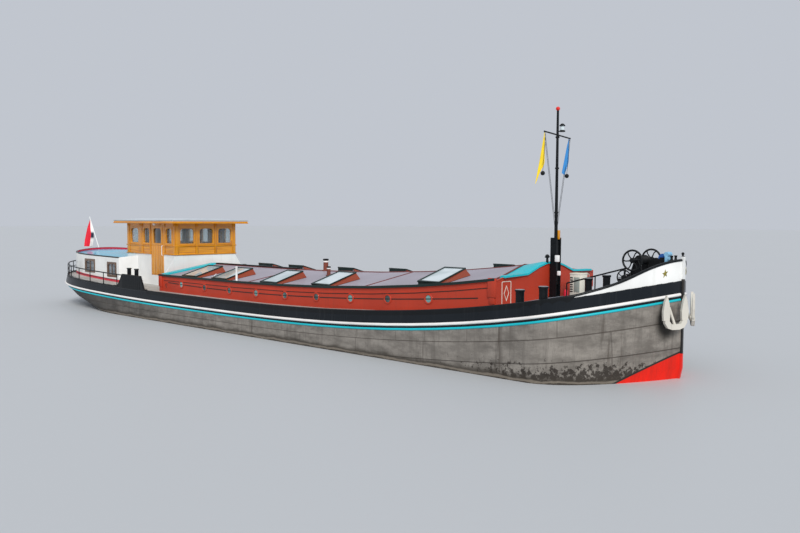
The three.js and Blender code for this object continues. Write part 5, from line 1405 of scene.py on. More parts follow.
class BARGE_OT_headboard_borders(bpy.types.Operator):
    """A plain pale border with a lozenge in it on each outer facet of the fore headboard"""

    bl_idname = "barge.headboard_borders"
    bl_label = "Headboard borders"

    def execute(self, context):
        pale = Shape()
        top = float(coaming_top(HOLD_FORE))
        for side in (-1, 1):
            origin = at(3.109, side * 1.72, top - 0.30)
            along = at(3.09, side * 1.43, 0.0) - at(3.115, side * 1.82, 0.0)
            u = along * -side
            v = np.array([0, 0, 1.0])
            out = unit(np.cross(unit(u), v))
            if out[0] < 0:
                u, out = -u, -out
            origin = origin + out * 0.003
            outer = rounded((-0.16, -0.26), (0.16, 0.26), 0.03, 3)
            inner = rounded((-0.145, -0.245), (0.145, 0.245), 0.02, 3)
            pale.grid(frame_ring(outer, inner, origin, u, v, (-0.006, 0.004), 0.001))
            lozenge = np.array([(0, -0.17), (0.085, 0), (0, 0.17), (-0.085, 0)])
            pale.grid(frame_ring(lozenge, lozenge * 0.84, origin, u, v, (-0.006, 0.004), 0.001))
        pale.make("headboard_borders", ["cream"], slot="white_paint")
        return {"FINISHED"}


class BARGE_OT_headboard_moulding(bpy.types.Operator):
    """A round moulding along the fore headboard's head"""

    bl_idname = "barge.headboard_moulding"
    bl_label = "Headboard moulding"

    def execute(self, context):
        spots = np.array([(3.06, 0.06, 0.281), (3.061, 0.18, 0.284), (3.067, 0.52, 0.212),
                          (3.073, 0.98, 0.062), (3.09, 1.43, 0.049), (3.115, 1.82, 0.044),
                          (3.13, 2.06, -0.015)])
        top = float(coaming_top(HOLD_FORE))
        head = Shape()
        half = at(spots[:, 0] - 0.004, -spots[:, 1], top + spots[:, 2])
        path = np.vstack([half[::-1], mirrored(half)])
        head.grid(tube(path, 0.014, 8), caps=True)
        head.make("headboard_moulding", ["red"], slot="red_paint")
        return {"FINISHED"}


# Wheelhouse


class BARGE_OT_window_frames(bpy.types.Operator):
    """Frames round the windows: square outside, with rounded heads inside."""

    bl_idname = "barge.window_frames"
    bl_label = "Window frames"

    def execute(self, context):
        across, along = Shape(), Shape()
        top = (0.012, 0.012, 0.11, 0.11)
        for x, facing in ((WALL_FORE, 1), (WALL_AFT, -1)):
            for a, b in FRONT_WINDOWS:
                outer = rounded((a - 0.035, WINDOW_LOW - 0.035), (b + 0.035, WINDOW_HIGH + 0.035), 0.006)
                inner = rounded((a + 0.022, WINDOW_LOW + 0.022), (b - 0.022, WINDOW_HIGH - 0.022), top)
                if facing < 0:
                    outer, inner = outer * [-1, 1], inner * [-1, 1]
                across.grid(frame_ring(outer, inner, at(x, 0, 0), (0, facing, 0), (0, 0, 1), (-0.045, 0.016),
                                       0.005))
        for side in (-1, 1):
            for fore, aft in SIDE_WINDOWS:
                outer = rounded((fore - 0.03, WINDOW_LOW - 0.035), (aft + 0.03, WINDOW_HIGH + 0.035), 0.006)
                inner = rounded((fore + 0.02, WINDOW_LOW + 0.022), (aft - 0.02, WINDOW_HIGH - 0.022), top)
                outer, inner = outer * [side, 1], inner * [side, 1]
                along.grid(frame_ring(outer, inner, at(0, side * WALL_HALF, 0), (-side, 0, 0), (0, 0, 1),
                                      (-0.045, 0.014), 0.005))
        across.make("wheelhouse_frames_across", ["wood_y"], slot="varnish")
        along.make("wheelhouse_frames_side", ["wood_x"], slot="varnish")
        return {"FINISHED"}


class BARGE_OT_wheelhouse_posts(bpy.types.Operator):
    """Corner and middle posts of the house, as flat boards"""

    bl_idname = "barge.wheelhouse_posts"
    bl_label = "Wheelhouse posts"

    def execute(self, context):
        posts = Shape()
        for facing, x in ((1, WALL_FORE), (-1, WALL_AFT)):
            for y, half in ((-1.145, 0.068), (-0.38, 0.052), (0.38, 0.052), (1.145, 0.068)):
                low, high = at(x, y - half, SILL + 0.004), at(x - facing * 0.022, y + half, POST_TOP)
                posts.grid(block(low, high, 0.007))
        for side in (-1, 1):
            for aft, half in ((16.915, 0.065), (17.51, 0.03), (18.438, 0.02), (19.06, 0.13), (19.93, 0.08)):
                posts.grid(block(at(aft - half, side * WALL_HALF, SILL + 0.004),
                                 at(aft + half, side * (WALL_HALF + 0.02), POST_TOP), 0.007))
        posts.make("wheelhouse_posts", ["wood_z"], slot="varnish")
        return {"FINISHED"}


class BARGE_OT_wheelhouse_mouldings(bpy.types.Operator):
    """Two mouldings round the house below the windows, mitred at its corners"""

    bl_idname = "barge.wheelhouse_mouldings"
    bl_label = "Wheelhouse mouldings"

    def execute(self, context):
        rails = Shape()
        moulding = [(-0.01, -0.024), (0.014, -0.024), (0.03, -0.012), (0.034, 0.006), (0.02, 0.02),
                    (-0.01, 0.026)]
        for z in (SILL + 0.03, WINDOW_LOW - 0.065):
            for side in (-1, 1):
                front = [(DOOR[0] - 0.03, WALL_HALF), (WALL_FORE, WALL_HALF), (WALL_FORE, 0.0)]
                rear = [(WALL_AFT, 0.0), (WALL_AFT, WALL_HALF), (DOOR[1] + 0.03, WALL_HALF)]
                for run in (front, rear):
                    path = np.array([at(a, side * y, z) for a, y in run])
                    section = np.array(moulding) * [side, 1]
                    along = unit(np.diff(path, axis=0))
                    miter = np.cross(unit(np.vstack([along[:1], along[:-1] + along[1:], along[-1:]])),
                                     (0, 0, 1))
                    stretch = np.array([1.0, math.sqrt(2), 1.0])
                    out = np.stack([section * [k, 1] for k in stretch])
                    leaning = (out[0, :, :1] * miter[0]).mean(axis=0)
                    if np.dot(leaning, path[0] - at(18.4, 0, z)) < 0:
                        out[..., 0] *= -1
                    rows = path[:, None] + out[..., :1] * miter[:, None] + out[..., 1:] * UP
                    rails.grid(rows, caps=True)
        rails.make("wheelhouse_mouldings", ["wood_y"], slot="varnish")
        return {"FINISHED"}


class BARGE_OT_wheelhouse_doors(bpy.types.Operator):
    """Each door: upright planks below, a framed pane above, and a white handle."""

    bl_idname = "barge.wheelhouse_doors"
    bl_label = "Wheelhouse doors"

    def execute(self, context):
        for side, name in ((-1, "stbd"), (1, "port")):
            wood = Shape()
            face = WALL_HALF - 0.002
            edges = np.linspace(DOOR[0] + 0.012, DOOR[1] - 0.012, 6)
            for a, b in zip(edges[:-1], edges[1:]):
                wood.grid(block(at(a + 0.003, side * (face - 0.004), DOOR_PLANKS[0]),
                                at(b - 0.003, side * (face + 0.008), DOOR_PLANKS[1]), 0.005))
            outer = rounded((DOOR_PANE[0] - 0.06, WINDOW_LOW - 0.05),
                            (DOOR_PANE[1] + 0.06, WINDOW_HIGH + 0.045), 0.01)
            inner = rounded((DOOR_PANE[0] + 0.02, WINDOW_LOW + 0.02),
                            (DOOR_PANE[1] - 0.02, WINDOW_HIGH - 0.02), (0.012, 0.012, 0.1, 0.1))
            outer, inner = outer * [side, 1], inner * [side, 1]
            wood.grid(frame_ring(outer, inner, at(0, side * face, 0), (-side, 0, 0), (0, 0, 1),
                                 (-0.036, 0.012), 0.004))
            wood.grid(block(at(DOOR_PANE[0] + 0.015, side * (face - 0.022), WINDOW_LOW + 0.01),
                            at(DOOR_PANE[1] - 0.015, side * (face - 0.018), WINDOW_HIGH - 0.01), 0.0015),
                      slot=1)
            handle = at(17.66, side * (face + np.array([0.0, 0.035, 0.035, 0.0])),
                        np.array([1.98, 2.0, 2.3, 2.32]))
            wood.grid(tube(handle, 0.013, 8, up=(1, 0, 0)), caps=True, slot=2)
            wood.make(f"door_{name}_panels", ["wood_z", "cabin_glass", "white"], body=f"door_{name}_body",
                      slot="varnish")
        return {"FINISHED"}


class BARGE_OT_roof_moulding(bpy.types.Operator):
    """Two round mouldings along the edge of the wheelhouse roof"""

    bl_idname = "barge.roof_moulding"
    bl_label = "Roof moulding"

    def execute(self, context):
        edge = Shape()
        corners = np.array([(ROOF_FORE, -ROOF_HALF), (ROOF_FORE, ROOF_HALF), (ROOF_AFT, ROOF_HALF),
                            (ROOF_AFT, -ROOF_HALF)])
        section = ring(0.018, 10)
        # The upper moulding is pale grey, partly as a painted highlight along the roof's top edge.
        for z, slot in ((FASCIA + 0.012, 0), (RIM - 0.004, 1)):
            path = at(corners[:, 0], corners[:, 1], z)
            along = unit(np.roll(path, -1, axis=0) - path) + unit(path - np.roll(path, 1, axis=0))
            side = np.cross(along, (0, 0, 1))
            rows = path[:, None] + section[:, :1] * side[:, None] + section[:, 1:] * UP
            edge.grid(np.concatenate([rows, rows[:1]]), slot=slot)
        edge.make("wheelhouse_roof_moulding", ["wood_x", "roof_edge"], slot="varnish")
        return {"FINISHED"}


class BARGE_OT_eave_lamp(bpy.types.Operator):
    """A small turned lamp under the starboard eave"""

    bl_idname = "barge.eave_lamp"
    bl_label = "Eave lamp"

    def execute(self, context):
        lamp = Shape()
        lamp.grid(turned([(0, 0.0), (0.05, 0.0), (0.06, -0.02), (0.055, -0.06), (0.035, -0.085), (0, -0.095)],
                         at(17.98, -1.33, FASCIA + 0.02), sides=18))
        lamp.make("eave_lamp", ["white"], slot="white_paint")
        return {"FINISHED"}


# Aft cabin


def cabin_outline(inset):
    """The cabin's outline from starboard at the wheelhouse round the stern, moved inwards."""
    plan = np.array(CABIN_PLAN[1:])
    share = np.linspace(0, 1, 60)
    length = np.concatenate([[0], np.cumsum(np.linalg.norm(np.diff(plan, axis=0), axis=1))])
    fine = np.stack([np.interp(share * length[-1], length, plan[:, k]) for k in (0, 1)], axis=-1)
    smooth = fine.copy()
    smooth[2:-2] = (fine[:-4] + fine[1:-3] + fine[2:-2] + fine[3:-1] + fine[4:]) / 5
    step = unit(np.gradient(smooth, axis=0))
    normal = np.stack([step[:, 1], -step[:, 0]], axis=-1)
    normal[-1] = (-1, 0)
    return smooth + normal * inset


class BARGE_OT_cabin_rim(bpy.types.Operator):
    """A dark rail over the edge of the wall and a red band inside it, both following the
    roof's rise"""

    bl_idname = "barge.cabin_rim"
    bl_label = "Cabin rim"

    def execute(self, context):
        bars = (("cabin_rim", "dark_trim", "black_steel", 0.02, 0.06, (-0.028, -0.03), (0.028, 0.012), 0.008),
                ("cabin_upstand", "bright_red", "red_paint", 0.045, 0.0, (-0.012, 0.0), (0.012, 0.062),
                 0.004))
        for name, finish, slot, inset, lift, low, high, radius in bars:
            plan = cabin_outline(inset)
            half = at(plan[:, 0], -plan[:, 1], cabin_top(plan[:, 0], plan[:, 1]) + lift)
            rows = sweep(both_sides(half), rounded(low, high, radius, 2), upright=True)
            Shape().grid(rows, caps=True).make(name, [finish], slot=slot)
        return {"FINISHED"}


class BARGE_OT_cabin_windows(bpy.types.Operator):
    """Wooden frames with a pane behind, flush with the cabin's side."""

    bl_idname = "barge.cabin_windows"
    bl_label = "Cabin windows"

    def execute(self, context):
        shape = Shape()
        for side in (-1, 1):
            for fore, aft, low, high in CABIN_WINDOWS:
                ends = np.interp([fore, aft], [p[0] for p in CABIN_PLAN], [p[1] for p in CABIN_PLAN])
                origin = at(fore, side * ends[0], low)
                u = at(aft, side * ends[1], low) - origin
                length, height = float(np.linalg.norm(u)), high - low
                if side > 0:
                    origin, u = origin + u, -u
                v = (0, 0, 1)
                outward = np.cross(unit(u), v)
                if outward[1] * side < 0:
                    origin, u = origin + u / np.linalg.norm(u) * length, -u
                outer = rounded((-0.05, -0.05), (length + 0.05, height + 0.05), 0.02, 3)
                inner = rounded((0.03, 0.03), (length - 0.03, height - 0.03), (0.02, 0.02, 0.1, 0.1), 3)
                shape.grid(frame_ring(outer, inner, origin, u, v, (-0.03, 0.014), 0.005))
                bar_loop = rounded((length / 2 - 0.016, 0.0), (length / 2 + 0.016, height), 0.004, 3)
                shape.grid(plate(bar_loop, origin, u, v, (-0.02, 0.008)), caps=True)
                glass = rounded((0.0, 0.0), (length, height), 0.01, 3)
                shape.grid(plate(glass, origin, u, v, (-0.024, -0.014)), caps=True, slot=1)
        shape.make("cabin_windows", ["brown_wood", "cabin_glass"], slot="varnish")
        return {"FINISHED"}


# Rig


def cloth(left, right, body_aft, folds, depth, flip=False, swing=0.0, rows=40, cols=28, thick=0.0016):
    """Limp cloth between a left and a right edge, each a list of (share down, along, height): straight
    across, plus a sine wave of folds to the side that deepens downwards, plus a swing of the far edge to
    the side in proportion to the way down. Two sheets a little apart close it."""
    down = np.linspace(0, 1, rows)
    edges = [np.stack([np.interp(down, [p[0] for p in e], [p[k] for p in e]) for k in (1, 2)], axis=-1)
             for e in (left, right)]
    smooth = np.array([0.25, 0.5, 0.25])
    for edge in edges:
        for _ in range(6):
            edge[1:-1] = smooth[0] * edge[:-2] + smooth[1] * edge[1:-1] + smooth[2] * edge[2:]
    share = np.linspace(0, 1, cols)
    flat = edges[0][:, None] * (1 - share[None, :, None]) + edges[1][:, None] * share[None, :, None]
    width = np.linalg.norm(edges[1] - edges[0], axis=-1)
    wave = np.sin(2 * np.pi * folds * share[None] + 1.3 * down[:, None]) * np.sin(np.pi * share[None]) ** 0.5
    broad = np.minimum(1, width / width.max() * 1.2)[:, None]
    bulge = depth * broad * wave * np.minimum(1, down * 4)[:, None]
    bulge = bulge + swing * share[None] * down[:, None]
    if flip:
        points = at(body_aft + bulge, flat[..., 0], flat[..., 1])
    else:
        points = at(flat[..., 0], bulge, flat[..., 1])
    du, dv = np.gradient(points, axis=1), np.gradient(points, axis=0)
    normal = unit(np.cross(du, dv))
    front, back = points + normal * thick, points - normal * thick
    body = np.concatenate([front, back[:, ::-1]], axis=1)
    uv = np.stack(np.broadcast_arrays(share[None], down[:, None]), axis=-1)
    return body, np.concatenate([uv, uv[:, ::-1]], axis=1)


BALLS = ((-0.63, 4.26), (0.40, 4.245))


def under_crosstree(y):
    """Height of the crosstree, which slopes across the ship."""
    half, height, tilt = CROSSTREE
    return height - tilt * y / half


def ball(radius, centre, steps, sides):
    """A sphere, turned from a half circle."""
    turn = np.linspace(-np.pi / 2, np.pi / 2, steps)
    return turned(np.stack([radius * np.cos(turn), radius * np.sin(turn)], axis=-1), centre, sides=sides)


class BARGE_OT_flag(bpy.types.Operator):
    """The limp flag, hung on its staff"""

    bl_idname = "barge.flag"
    bl_label = "Flag"

    def execute(self, context):
        left = [(0, 25.36, 3.2), (0.3, 25.44, 2.88), (0.75, 25.455, 2.35), (1, 25.39, 2.09)]
        right = [(0, 25.33, 3.19), (0.45, 25.045, 2.68), (0.62, 25.04, 2.48), (0.85, 25.12, 2.26),
                 (1, 25.2, 2.08)]
        body, uv = cloth(right, left, 0, 2.5, 0.035, swing=-0.26)
        uv[..., 0] = 1 - uv[..., 0]
        flag = Shape().grid(body, caps=True, uv=uv).make(
            "flag_cloth", ["flag"], replaces=["flag"], slot="cloth_flag", sharp=80)
        return {"FINISHED"}


class BARGE_OT_pennants(bpy.types.Operator):
    """Two long limp pennants under the crosstree"""

    bl_idname = "barge.pennants"
    bl_label = "Pennants"

    def execute(self, context):
        z = under_crosstree(-0.545) - 0.02
        body, uv = cloth([(0, -0.552, z), (0.6, -0.74, 4.5), (1, -0.895, 4.02)],
                         [(0, -0.538, z), (0.6, -0.53, 4.46), (0.8, -0.70, 4.3), (1, -0.885, 4.015)],
                         MAST_AFT, 1.5, 0.02, flip=True)
        yellow = Shape().grid(body, caps=True, uv=uv).make(
            "pennant_yellow_cloth", ["pennant_yellow"], body="mast_body", replaces=["pennant_yellow"],
            slot="cloth_yellow", sharp=80)
        z = under_crosstree(0.515) - 0.02
        body, uv = cloth([(0, 0.508, z), (0.2, 0.44, 4.98), (1, 0.215, 4.3)],
                         [(0, 0.516, z), (0.7, 0.505, 4.56), (1, 0.33, 4.27)], MAST_AFT, 1.5, 0.02, flip=True)
        blue = Shape().grid(body, caps=True, uv=uv).make(
            "pennant_blue_cloth", ["pennant_blue"], body="mast_body", replaces=["pennant_blue"],
            slot="cloth_blue", sharp=80)
        return {"FINISHED"}


class BARGE_OT_halyards(bpy.types.Operator):
    """Pairs of thin lines from the crosstree's ends to the mast, and the lines that hold the balls"""

    bl_idname = "barge.halyards"
    bl_label = "Halyards"

    def execute(self, context):
        lines = Shape()
        for y in (-0.545, 0.515):
            top = under_crosstree(y) - 0.015
            for shift in (-0.012, 0.012):
                path = at(np.full(6, MAST_AFT + shift), np.linspace(y, 0.045 * np.sign(y), 6),
                          np.linspace(top, 3.1, 6))
                lines.grid(tube(path, HALYARD, 6, up=(1, 0, 0)), caps=True)
        for y, z in BALLS:
            across = np.linspace(np.sign(y) * 0.53, y, 5)
            hang = at(np.full(5, MAST_AFT - 0.02), across, np.linspace(5.12, z + 0.05, 5))
            lines.grid(tube(hang, HALYARD, 6, up=(1, 0, 0)), caps=True)
        lines.make("halyards", ["dull_black"], body="mast_body", slot="black_steel")
        return {"FINISHED"}


class BARGE_OT_mast_gear(bpy.types.Operator):
    """Two hanging balls, the red ball on the mast's head, the lantern and three collars"""

    bl_idname = "barge.mast_gear"
    bl_label = "Mast gear"

    def execute(self, context):
        gear = Shape()
        for y, z in BALLS:
            gear.grid(ball(0.05, at(MAST_AFT - 0.02, y, z), 9, 16))
        gear.grid(ball(0.047, at(MAST_AFT, 0, 5.738), 11, 18), slot=1)
        x = MAST_AFT - 0.12
        gear.grid(turned([(0, 5.212), (0.066, 5.212), (0.067, 5.236), (0.05, 5.242), (0.045, 5.25)],
                         at(x, 0, 0), sides=18))
        # The lantern's glass is painted pale, a painted sky reflection.
        gear.grid(turned([(0.0, 5.236), (0.044, 5.24), (0.046, 5.29), (0.044, 5.345), (0, 5.35)], at(x, 0, 0),
                         sides=18), slot=2)
        gear.grid(turned([(0, 5.338), (0.066, 5.34), (0.067, 5.352), (0.03, 5.392), (0.012, 5.396), (0, 5.4)],
                         at(x, 0, 0), sides=18))
        for z in (3.4, 4.4, 5.1):
            gear.grid(turned([(0.034, -0.02), (0.046, -0.014), (0.046, 0.014), (0.034, 0.02)],
                             at(MAST_AFT, 0, z), sides=16))
        gear.make("mast_gear", ["dull_black", "lamp_red", "sky_glass"], body="mast_body", slot="black_steel")
        return {"FINISHED"}


class BARGE_OT_tabernacle_lamps(bpy.types.Operator):
    """Two white lamps on the tabernacle's starboard cheek"""

    bl_idname = "barge.tabernacle_lamps"
    bl_label = "Tabernacle lamps"

    def execute(self, context):
        white = Shape()
        for aft, y, z, size in ((2.83, -0.12, 2.36, 0.075), (2.78, -0.12, 2.03, 0.05)):
            white.grid(block(at(aft + size * 0.7, y - 0.035, z - size),
                             at(aft - size * 0.7, y + 0.02, z + size), 0.012))
        white.make("tabernacle_lamps", ["white"], slot="white_paint")
        return {"FINISHED"}


class BARGE_OT_mast_block(bpy.types.Operator):
    """A wooden block at the foot of the mast, above the tabernacle"""

    bl_idname = "barge.mast_block"
    bl_label = "Mast block"

    def execute(self, context):
        wood = Shape()
        wood.grid(block(at(2.935, 0.012, 2.79), at(2.875, 0.072, 3.0), 0.012))
        wood.make("mast_block", ["wood_z"], body="mast_body", slot="varnish")
        return {"FINISHED"}


class BARGE_OT_mast_foot_posts(bpy.types.Operator):
    """A black post with a crossbar behind the tabernacle and a small red one beside it"""

    bl_idname = "barge.mast_foot_posts"
    bl_label = "Mast foot posts"

    def execute(self, context):
        posts = Shape()
        profile = np.array([(0, 0), (0.03, 0), (0.026, 0.1), (0.045, 0.12), (0.05, 0.15), (0.03, 0.18),
                            (0, 0.19)])
        posts.grid(turned(profile, at(3.045, -0.2, 2.265), sides=14))
        posts.grid(tube(at(np.full(2, 3.045), np.array([-0.29, -0.11]), 2.39), 0.014, 8), caps=True)
        foot = float(deck_height(2.6, 0.12))
        red = [(0, -0.02), (0.05, -0.02), (0.05, 0.1), (0.03, 0.14), (0, 0.15)]
        posts.grid(turned(red, at(2.6, -0.12, foot), sides=14), slot=1)
        posts.make("mast_foot_posts", ["dull_black", "bright_red"], slot="black_steel")
        return {"FINISHED"}


# Deck gear


def bollard(centre, radius, head, rise):
    """A turned post: a flared foot, a drawn-in waist and a rounded head a little wider."""
    return turned([(0, -0.08), (radius + 0.02, -0.08), (radius + 0.02, 0.008), (radius, 0.03),
                   (radius * 0.97, rise / 2), (radius, rise - 0.05), (head - 0.004, rise - 0.036),
                   (head, rise - 0.026), (head, rise - 0.01), (head - 0.008, rise)], centre, sides=24)


def spoked_wheel(shape, centre, radius, rim, spokes, spoke):
    """A round rim, its spokes and a turned hub, in the plane square to y."""
    angle = np.linspace(0, 2 * np.pi, 40, endpoint=False)
    path = centre + radius * np.stack([np.cos(angle), np.zeros(40), np.sin(angle)], axis=-1)
    shape.grid(tube(path, rim, 10, up=(0, 1, 0), closed=True))
    for k in range(spokes):
        turn = 2 * np.pi * k / spokes
        bend = np.array([0.0, 0.35, 0.7, 1.0])
        arc = turn + 0.16 * np.sin(np.pi * bend)
        line = centre + (radius * bend)[:, None] * np.stack([np.cos(arc), np.zeros(4), np.sin(arc)], axis=-1)
        shape.grid(tube(line, spoke * np.array([1.2, 1.0, 0.9, 1.1]), 8, up=(0, 1, 0)), caps=True)
    shape.grid(turned([(0, -0.04), (0.045, -0.04), (0.055, -0.02), (0.055, 0.02), (0.045, 0.04), (0, 0.04)],
                      centre, (0, 1, 0), 16))


class BARGE_OT_bollards(bpy.types.Operator):
    """Turned posts in pairs on a plate, with pale worn heads. Columns: name, distances aft, y, radius,
    head, rise, plate ends, plate half width, plate thickness"""

    bl_idname = "barge.bollards"
    bl_label = "Bollards"

    def execute(self, context):
        table = (("rail_bollards", (1.87, 2.42), 2.24, 0.09, 0.104, 0.295, (1.74, 2.54), (2.1, 2.29), 0.014),
                 ("fore_bollards", (1.18, 1.59), 0.95, 0.075, 0.09, 0.325, (1.06, 1.72), (0.85, 1.05), 0.03))
        for name, afts, y, radius, head, rise, ends, span, thick in table:
            for side, hand in ((-1, "stbd"), (1, "port")):
                shape = Shape()
                for aft in afts:
                    centre = at(aft, side * y, float(deck_height(aft, y)))
                    shape.grid(bollard(centre, radius, head, rise), caps=True)
                    cap = [(0, rise - 0.02), (head - 0.006, rise - 0.02), (head - 0.006, rise),
                           (head - 0.02, rise + 0.004), (0, rise + 0.006)]
                    shape.grid(turned(cap, centre, sides=24), slot=1)
                fore, aft = (at(e, side * span[0], float(deck_height(e, span[0]))) for e in ends)
                rows = np.stack([fore, aft])
                across = np.array([0, side * (span[1] - span[0]), 0])
                up = np.array([0, 0, thick])
                section = np.stack([rows - up * 2, rows + up * 0.7, rows + up + across * 0.06,
                                    rows + up + across * 0.94, rows + up * 0.7 + across,
                                    rows - up * 2 + across])
                shape.grid(section.transpose(1, 0, 2), caps=True)
                shape.make(f"{name}_{hand}_posts", ["black", "steel"], replaces=[f"{name}_{hand}"],
                           slot="black_steel")
        return {"FINISHED"}


class BARGE_OT_windlass_wheels(bpy.types.Operator):
    """Spoked wheels and a roped drum, whose radius ripples with the turns of rope, on one shaft"""

    bl_idname = "barge.windlass_wheels"
    bl_label = "Windlass wheels"

    def execute(self, context):
        spoke = context.scene.barge_sizes.wheel_spokes
        shaft = Shape()
        centre = at(SHAFT_AFT, 0, SHAFT_HIGH)
        shaft.grid(turned([(0, -0.5), (0.028, -0.5), (0.03, -0.49), (0.03, 0.49), (0.028, 0.5), (0, 0.5)],
                          centre, (0, 1, 0), 18))
        for y in (-0.45, 0.45):
            spoked_wheel(shaft, centre + [0, y, 0], 0.208, 0.021, 6, spoke)
        turn = np.linspace(0, 1, 61)
        drum = np.stack([0.078 + 0.014 * np.abs(np.sin(turn * np.pi * 10)), -0.14 + 0.28 * turn], axis=-1)
        shaft.grid(turned(np.vstack([[(0, -0.15), (0.1, -0.15), (0.1, -0.142)], drum,
                                     [(0.1, 0.142), (0.1, 0.15), (0, 0.15)]]), centre, (0, 1, 0), 28))
        shaft.make("windlass_wheels", ["dull_black"], body="windlass_shaft_body", replaces=["windlass_shaft"],
                   slot="black_steel")
        return {"FINISHED"}


class BARGE_OT_windlass_gear(bpy.types.Operator):
    """Bent frames, the small spoked wheel, the gear wheel and the bed beside the shaft"""

    bl_idname = "barge.windlass_gear"
    bl_label = "Windlass gear"

    def execute(self, context):
        spoke = context.scene.barge_sizes.wheel_spokes
        deck = float(deck_height(SHAFT_AFT, 0))
        gear = Shape()
        for y in (-0.24, 0.24):
            gear.grid(tube(at(np.array([0.66, 0.8, 0.87, 0.94, 1.08]), np.full(5, y),
                              np.array([deck + 0.02, 2.3, 2.44, 2.3, deck + 0.02])), 0.02, 8, up=(0, 1, 0)),
                      caps=True)
        spoked_wheel(gear, at(1.0, -0.55, deck + 0.19), 0.15, 0.013, 5, spoke * 0.8)
        gear.grid(turned([(0, -0.03), (0.14, -0.03), (0.15, -0.02), (0.15, 0.02), (0.14, 0.03), (0, 0.03)],
                         at(0.62, 0.1, 2.3), (0, 1, 0), 30))
        gear.grid(block(at(0.7, -0.19, deck - 0.02), at(0.5, 0.19, deck + 0.1), 0.02))
        gear.make("windlass_gear", ["dull_black"], slot="black_steel")
        return {"FINISHED"}


class BARGE_OT_bow_rollers(bpy.types.Operator):
    """A blue drum, a pale blue winch and a fairlead with two small spools, behind the stem"""

    bl_idname = "barge.bow_rollers"
    bl_label = "Bow rollers"

    def execute(self, context):
        bow = Shape()
        deck = float(deck_height(0.4, 0))
        bow.grid(turned([(0, -0.11), (0.1, -0.11), (0.1, -0.1), (0.07, -0.09), (0.07, 0.09), (0.1, 0.1),
                         (0.1, 0.11), (0, 0.11)], at(0.46, 0.2, 2.44), (0, 1, 0), 24))
        for y in (0.07, 0.33):
            bow.grid(block(at(0.52, y - 0.012, deck - 0.02), at(0.4, y + 0.012, 2.46), 0.008), slot=2)
        bow.grid(turned([(0, -0.1), (0.05, -0.1), (0.055, 0), (0.05, 0.1), (0, 0.1)], at(0.33, 0.05, 2.53),
                        (0, 1, 0), 20), slot=1)
        bow.grid(block(at(0.36, -0.06, 2.36), at(0.3, 0.16, 2.5), 0.01), slot=1)
        bow.grid(block(at(0.37, -0.07, deck - 0.02), at(0.29, 0.17, 2.37), 0.012), slot=2)
        for y in (-0.1, 0.1):
            bow.grid(turned([(0, -0.05), (0.035, -0.05), (0.022, 0), (0.035, 0.05), (0, 0.05)],
                            at(0.19, y, 2.46), (0, 0, 1), 14), slot=2)
        bow.grid(block(at(0.23, -0.16, deck + 0.02), at(0.15, 0.16, 2.42), 0.012), slot=2)
        bow.make("bow_rollers", ["rope_blue", "pale_blue", "dull_black"], slot="engine_paint")
        return {"FINISHED"}


class BARGE_OT_locker(bpy.types.Operator):
    """Cream locker with a rounded lid, a dark louvred strip and a grey panel."""

    bl_idname = "barge.locker"
    bl_label = "Locker"

    def execute(self, context):
        deck = float(deck_height(2.535, 0))
        shape = Shape()
        shape.grid(block(at(2.675, 0.165, deck - 0.05), at(2.395, 0.485, deck + 0.47), 0.02))
        shape.grid(block(at(2.68, 0.16, deck + 0.45), at(2.39, 0.49, deck + 0.495), 0.015))
        for k in range(7):
            z = deck + 0.06 + 0.052 * k
            shape.grid(block(at(2.66, 0.158, z), at(2.59, 0.17, z + 0.026), 0.004), slot=1)
        shape.grid(block(at(2.56, 0.157, deck + 0.06), at(2.42, 0.17, deck + 0.4), 0.008), slot=2)
        shape.make("locker_box", ["cream", "dull_black", "grey"], replaces=["locker"], slot="locker_paint")
        return {"FINISHED"}


class BARGE_OT_handrail(bpy.types.Operator):
    """A sloping handrail on three stanchions beside the foredeck."""

    bl_idname = "barge.handrail"
    bl_label = "Handrail"

    def execute(self, context):
        rail = at(np.linspace(2.36, 1.0, 9), -0.5, np.linspace(1.8, 2.18, 9) + 0.05)
        shape = Shape().grid(tube(rail, 0.017, 10), caps=True)
        for k in (0, 4, 8):
            foot = rail[k].copy()
            foot[2] = float(deck_height(STEM_X - foot[0], 0.5)) + DRAFT - 0.02
            shape.grid(tube(np.stack([foot, rail[k]]), 0.014, 8, up=(1, 0, 0)), caps=True)
        shape.make("foredeck_handrail", ["black"], slot="black_steel")
        return {"FINISHED"}


# Stern


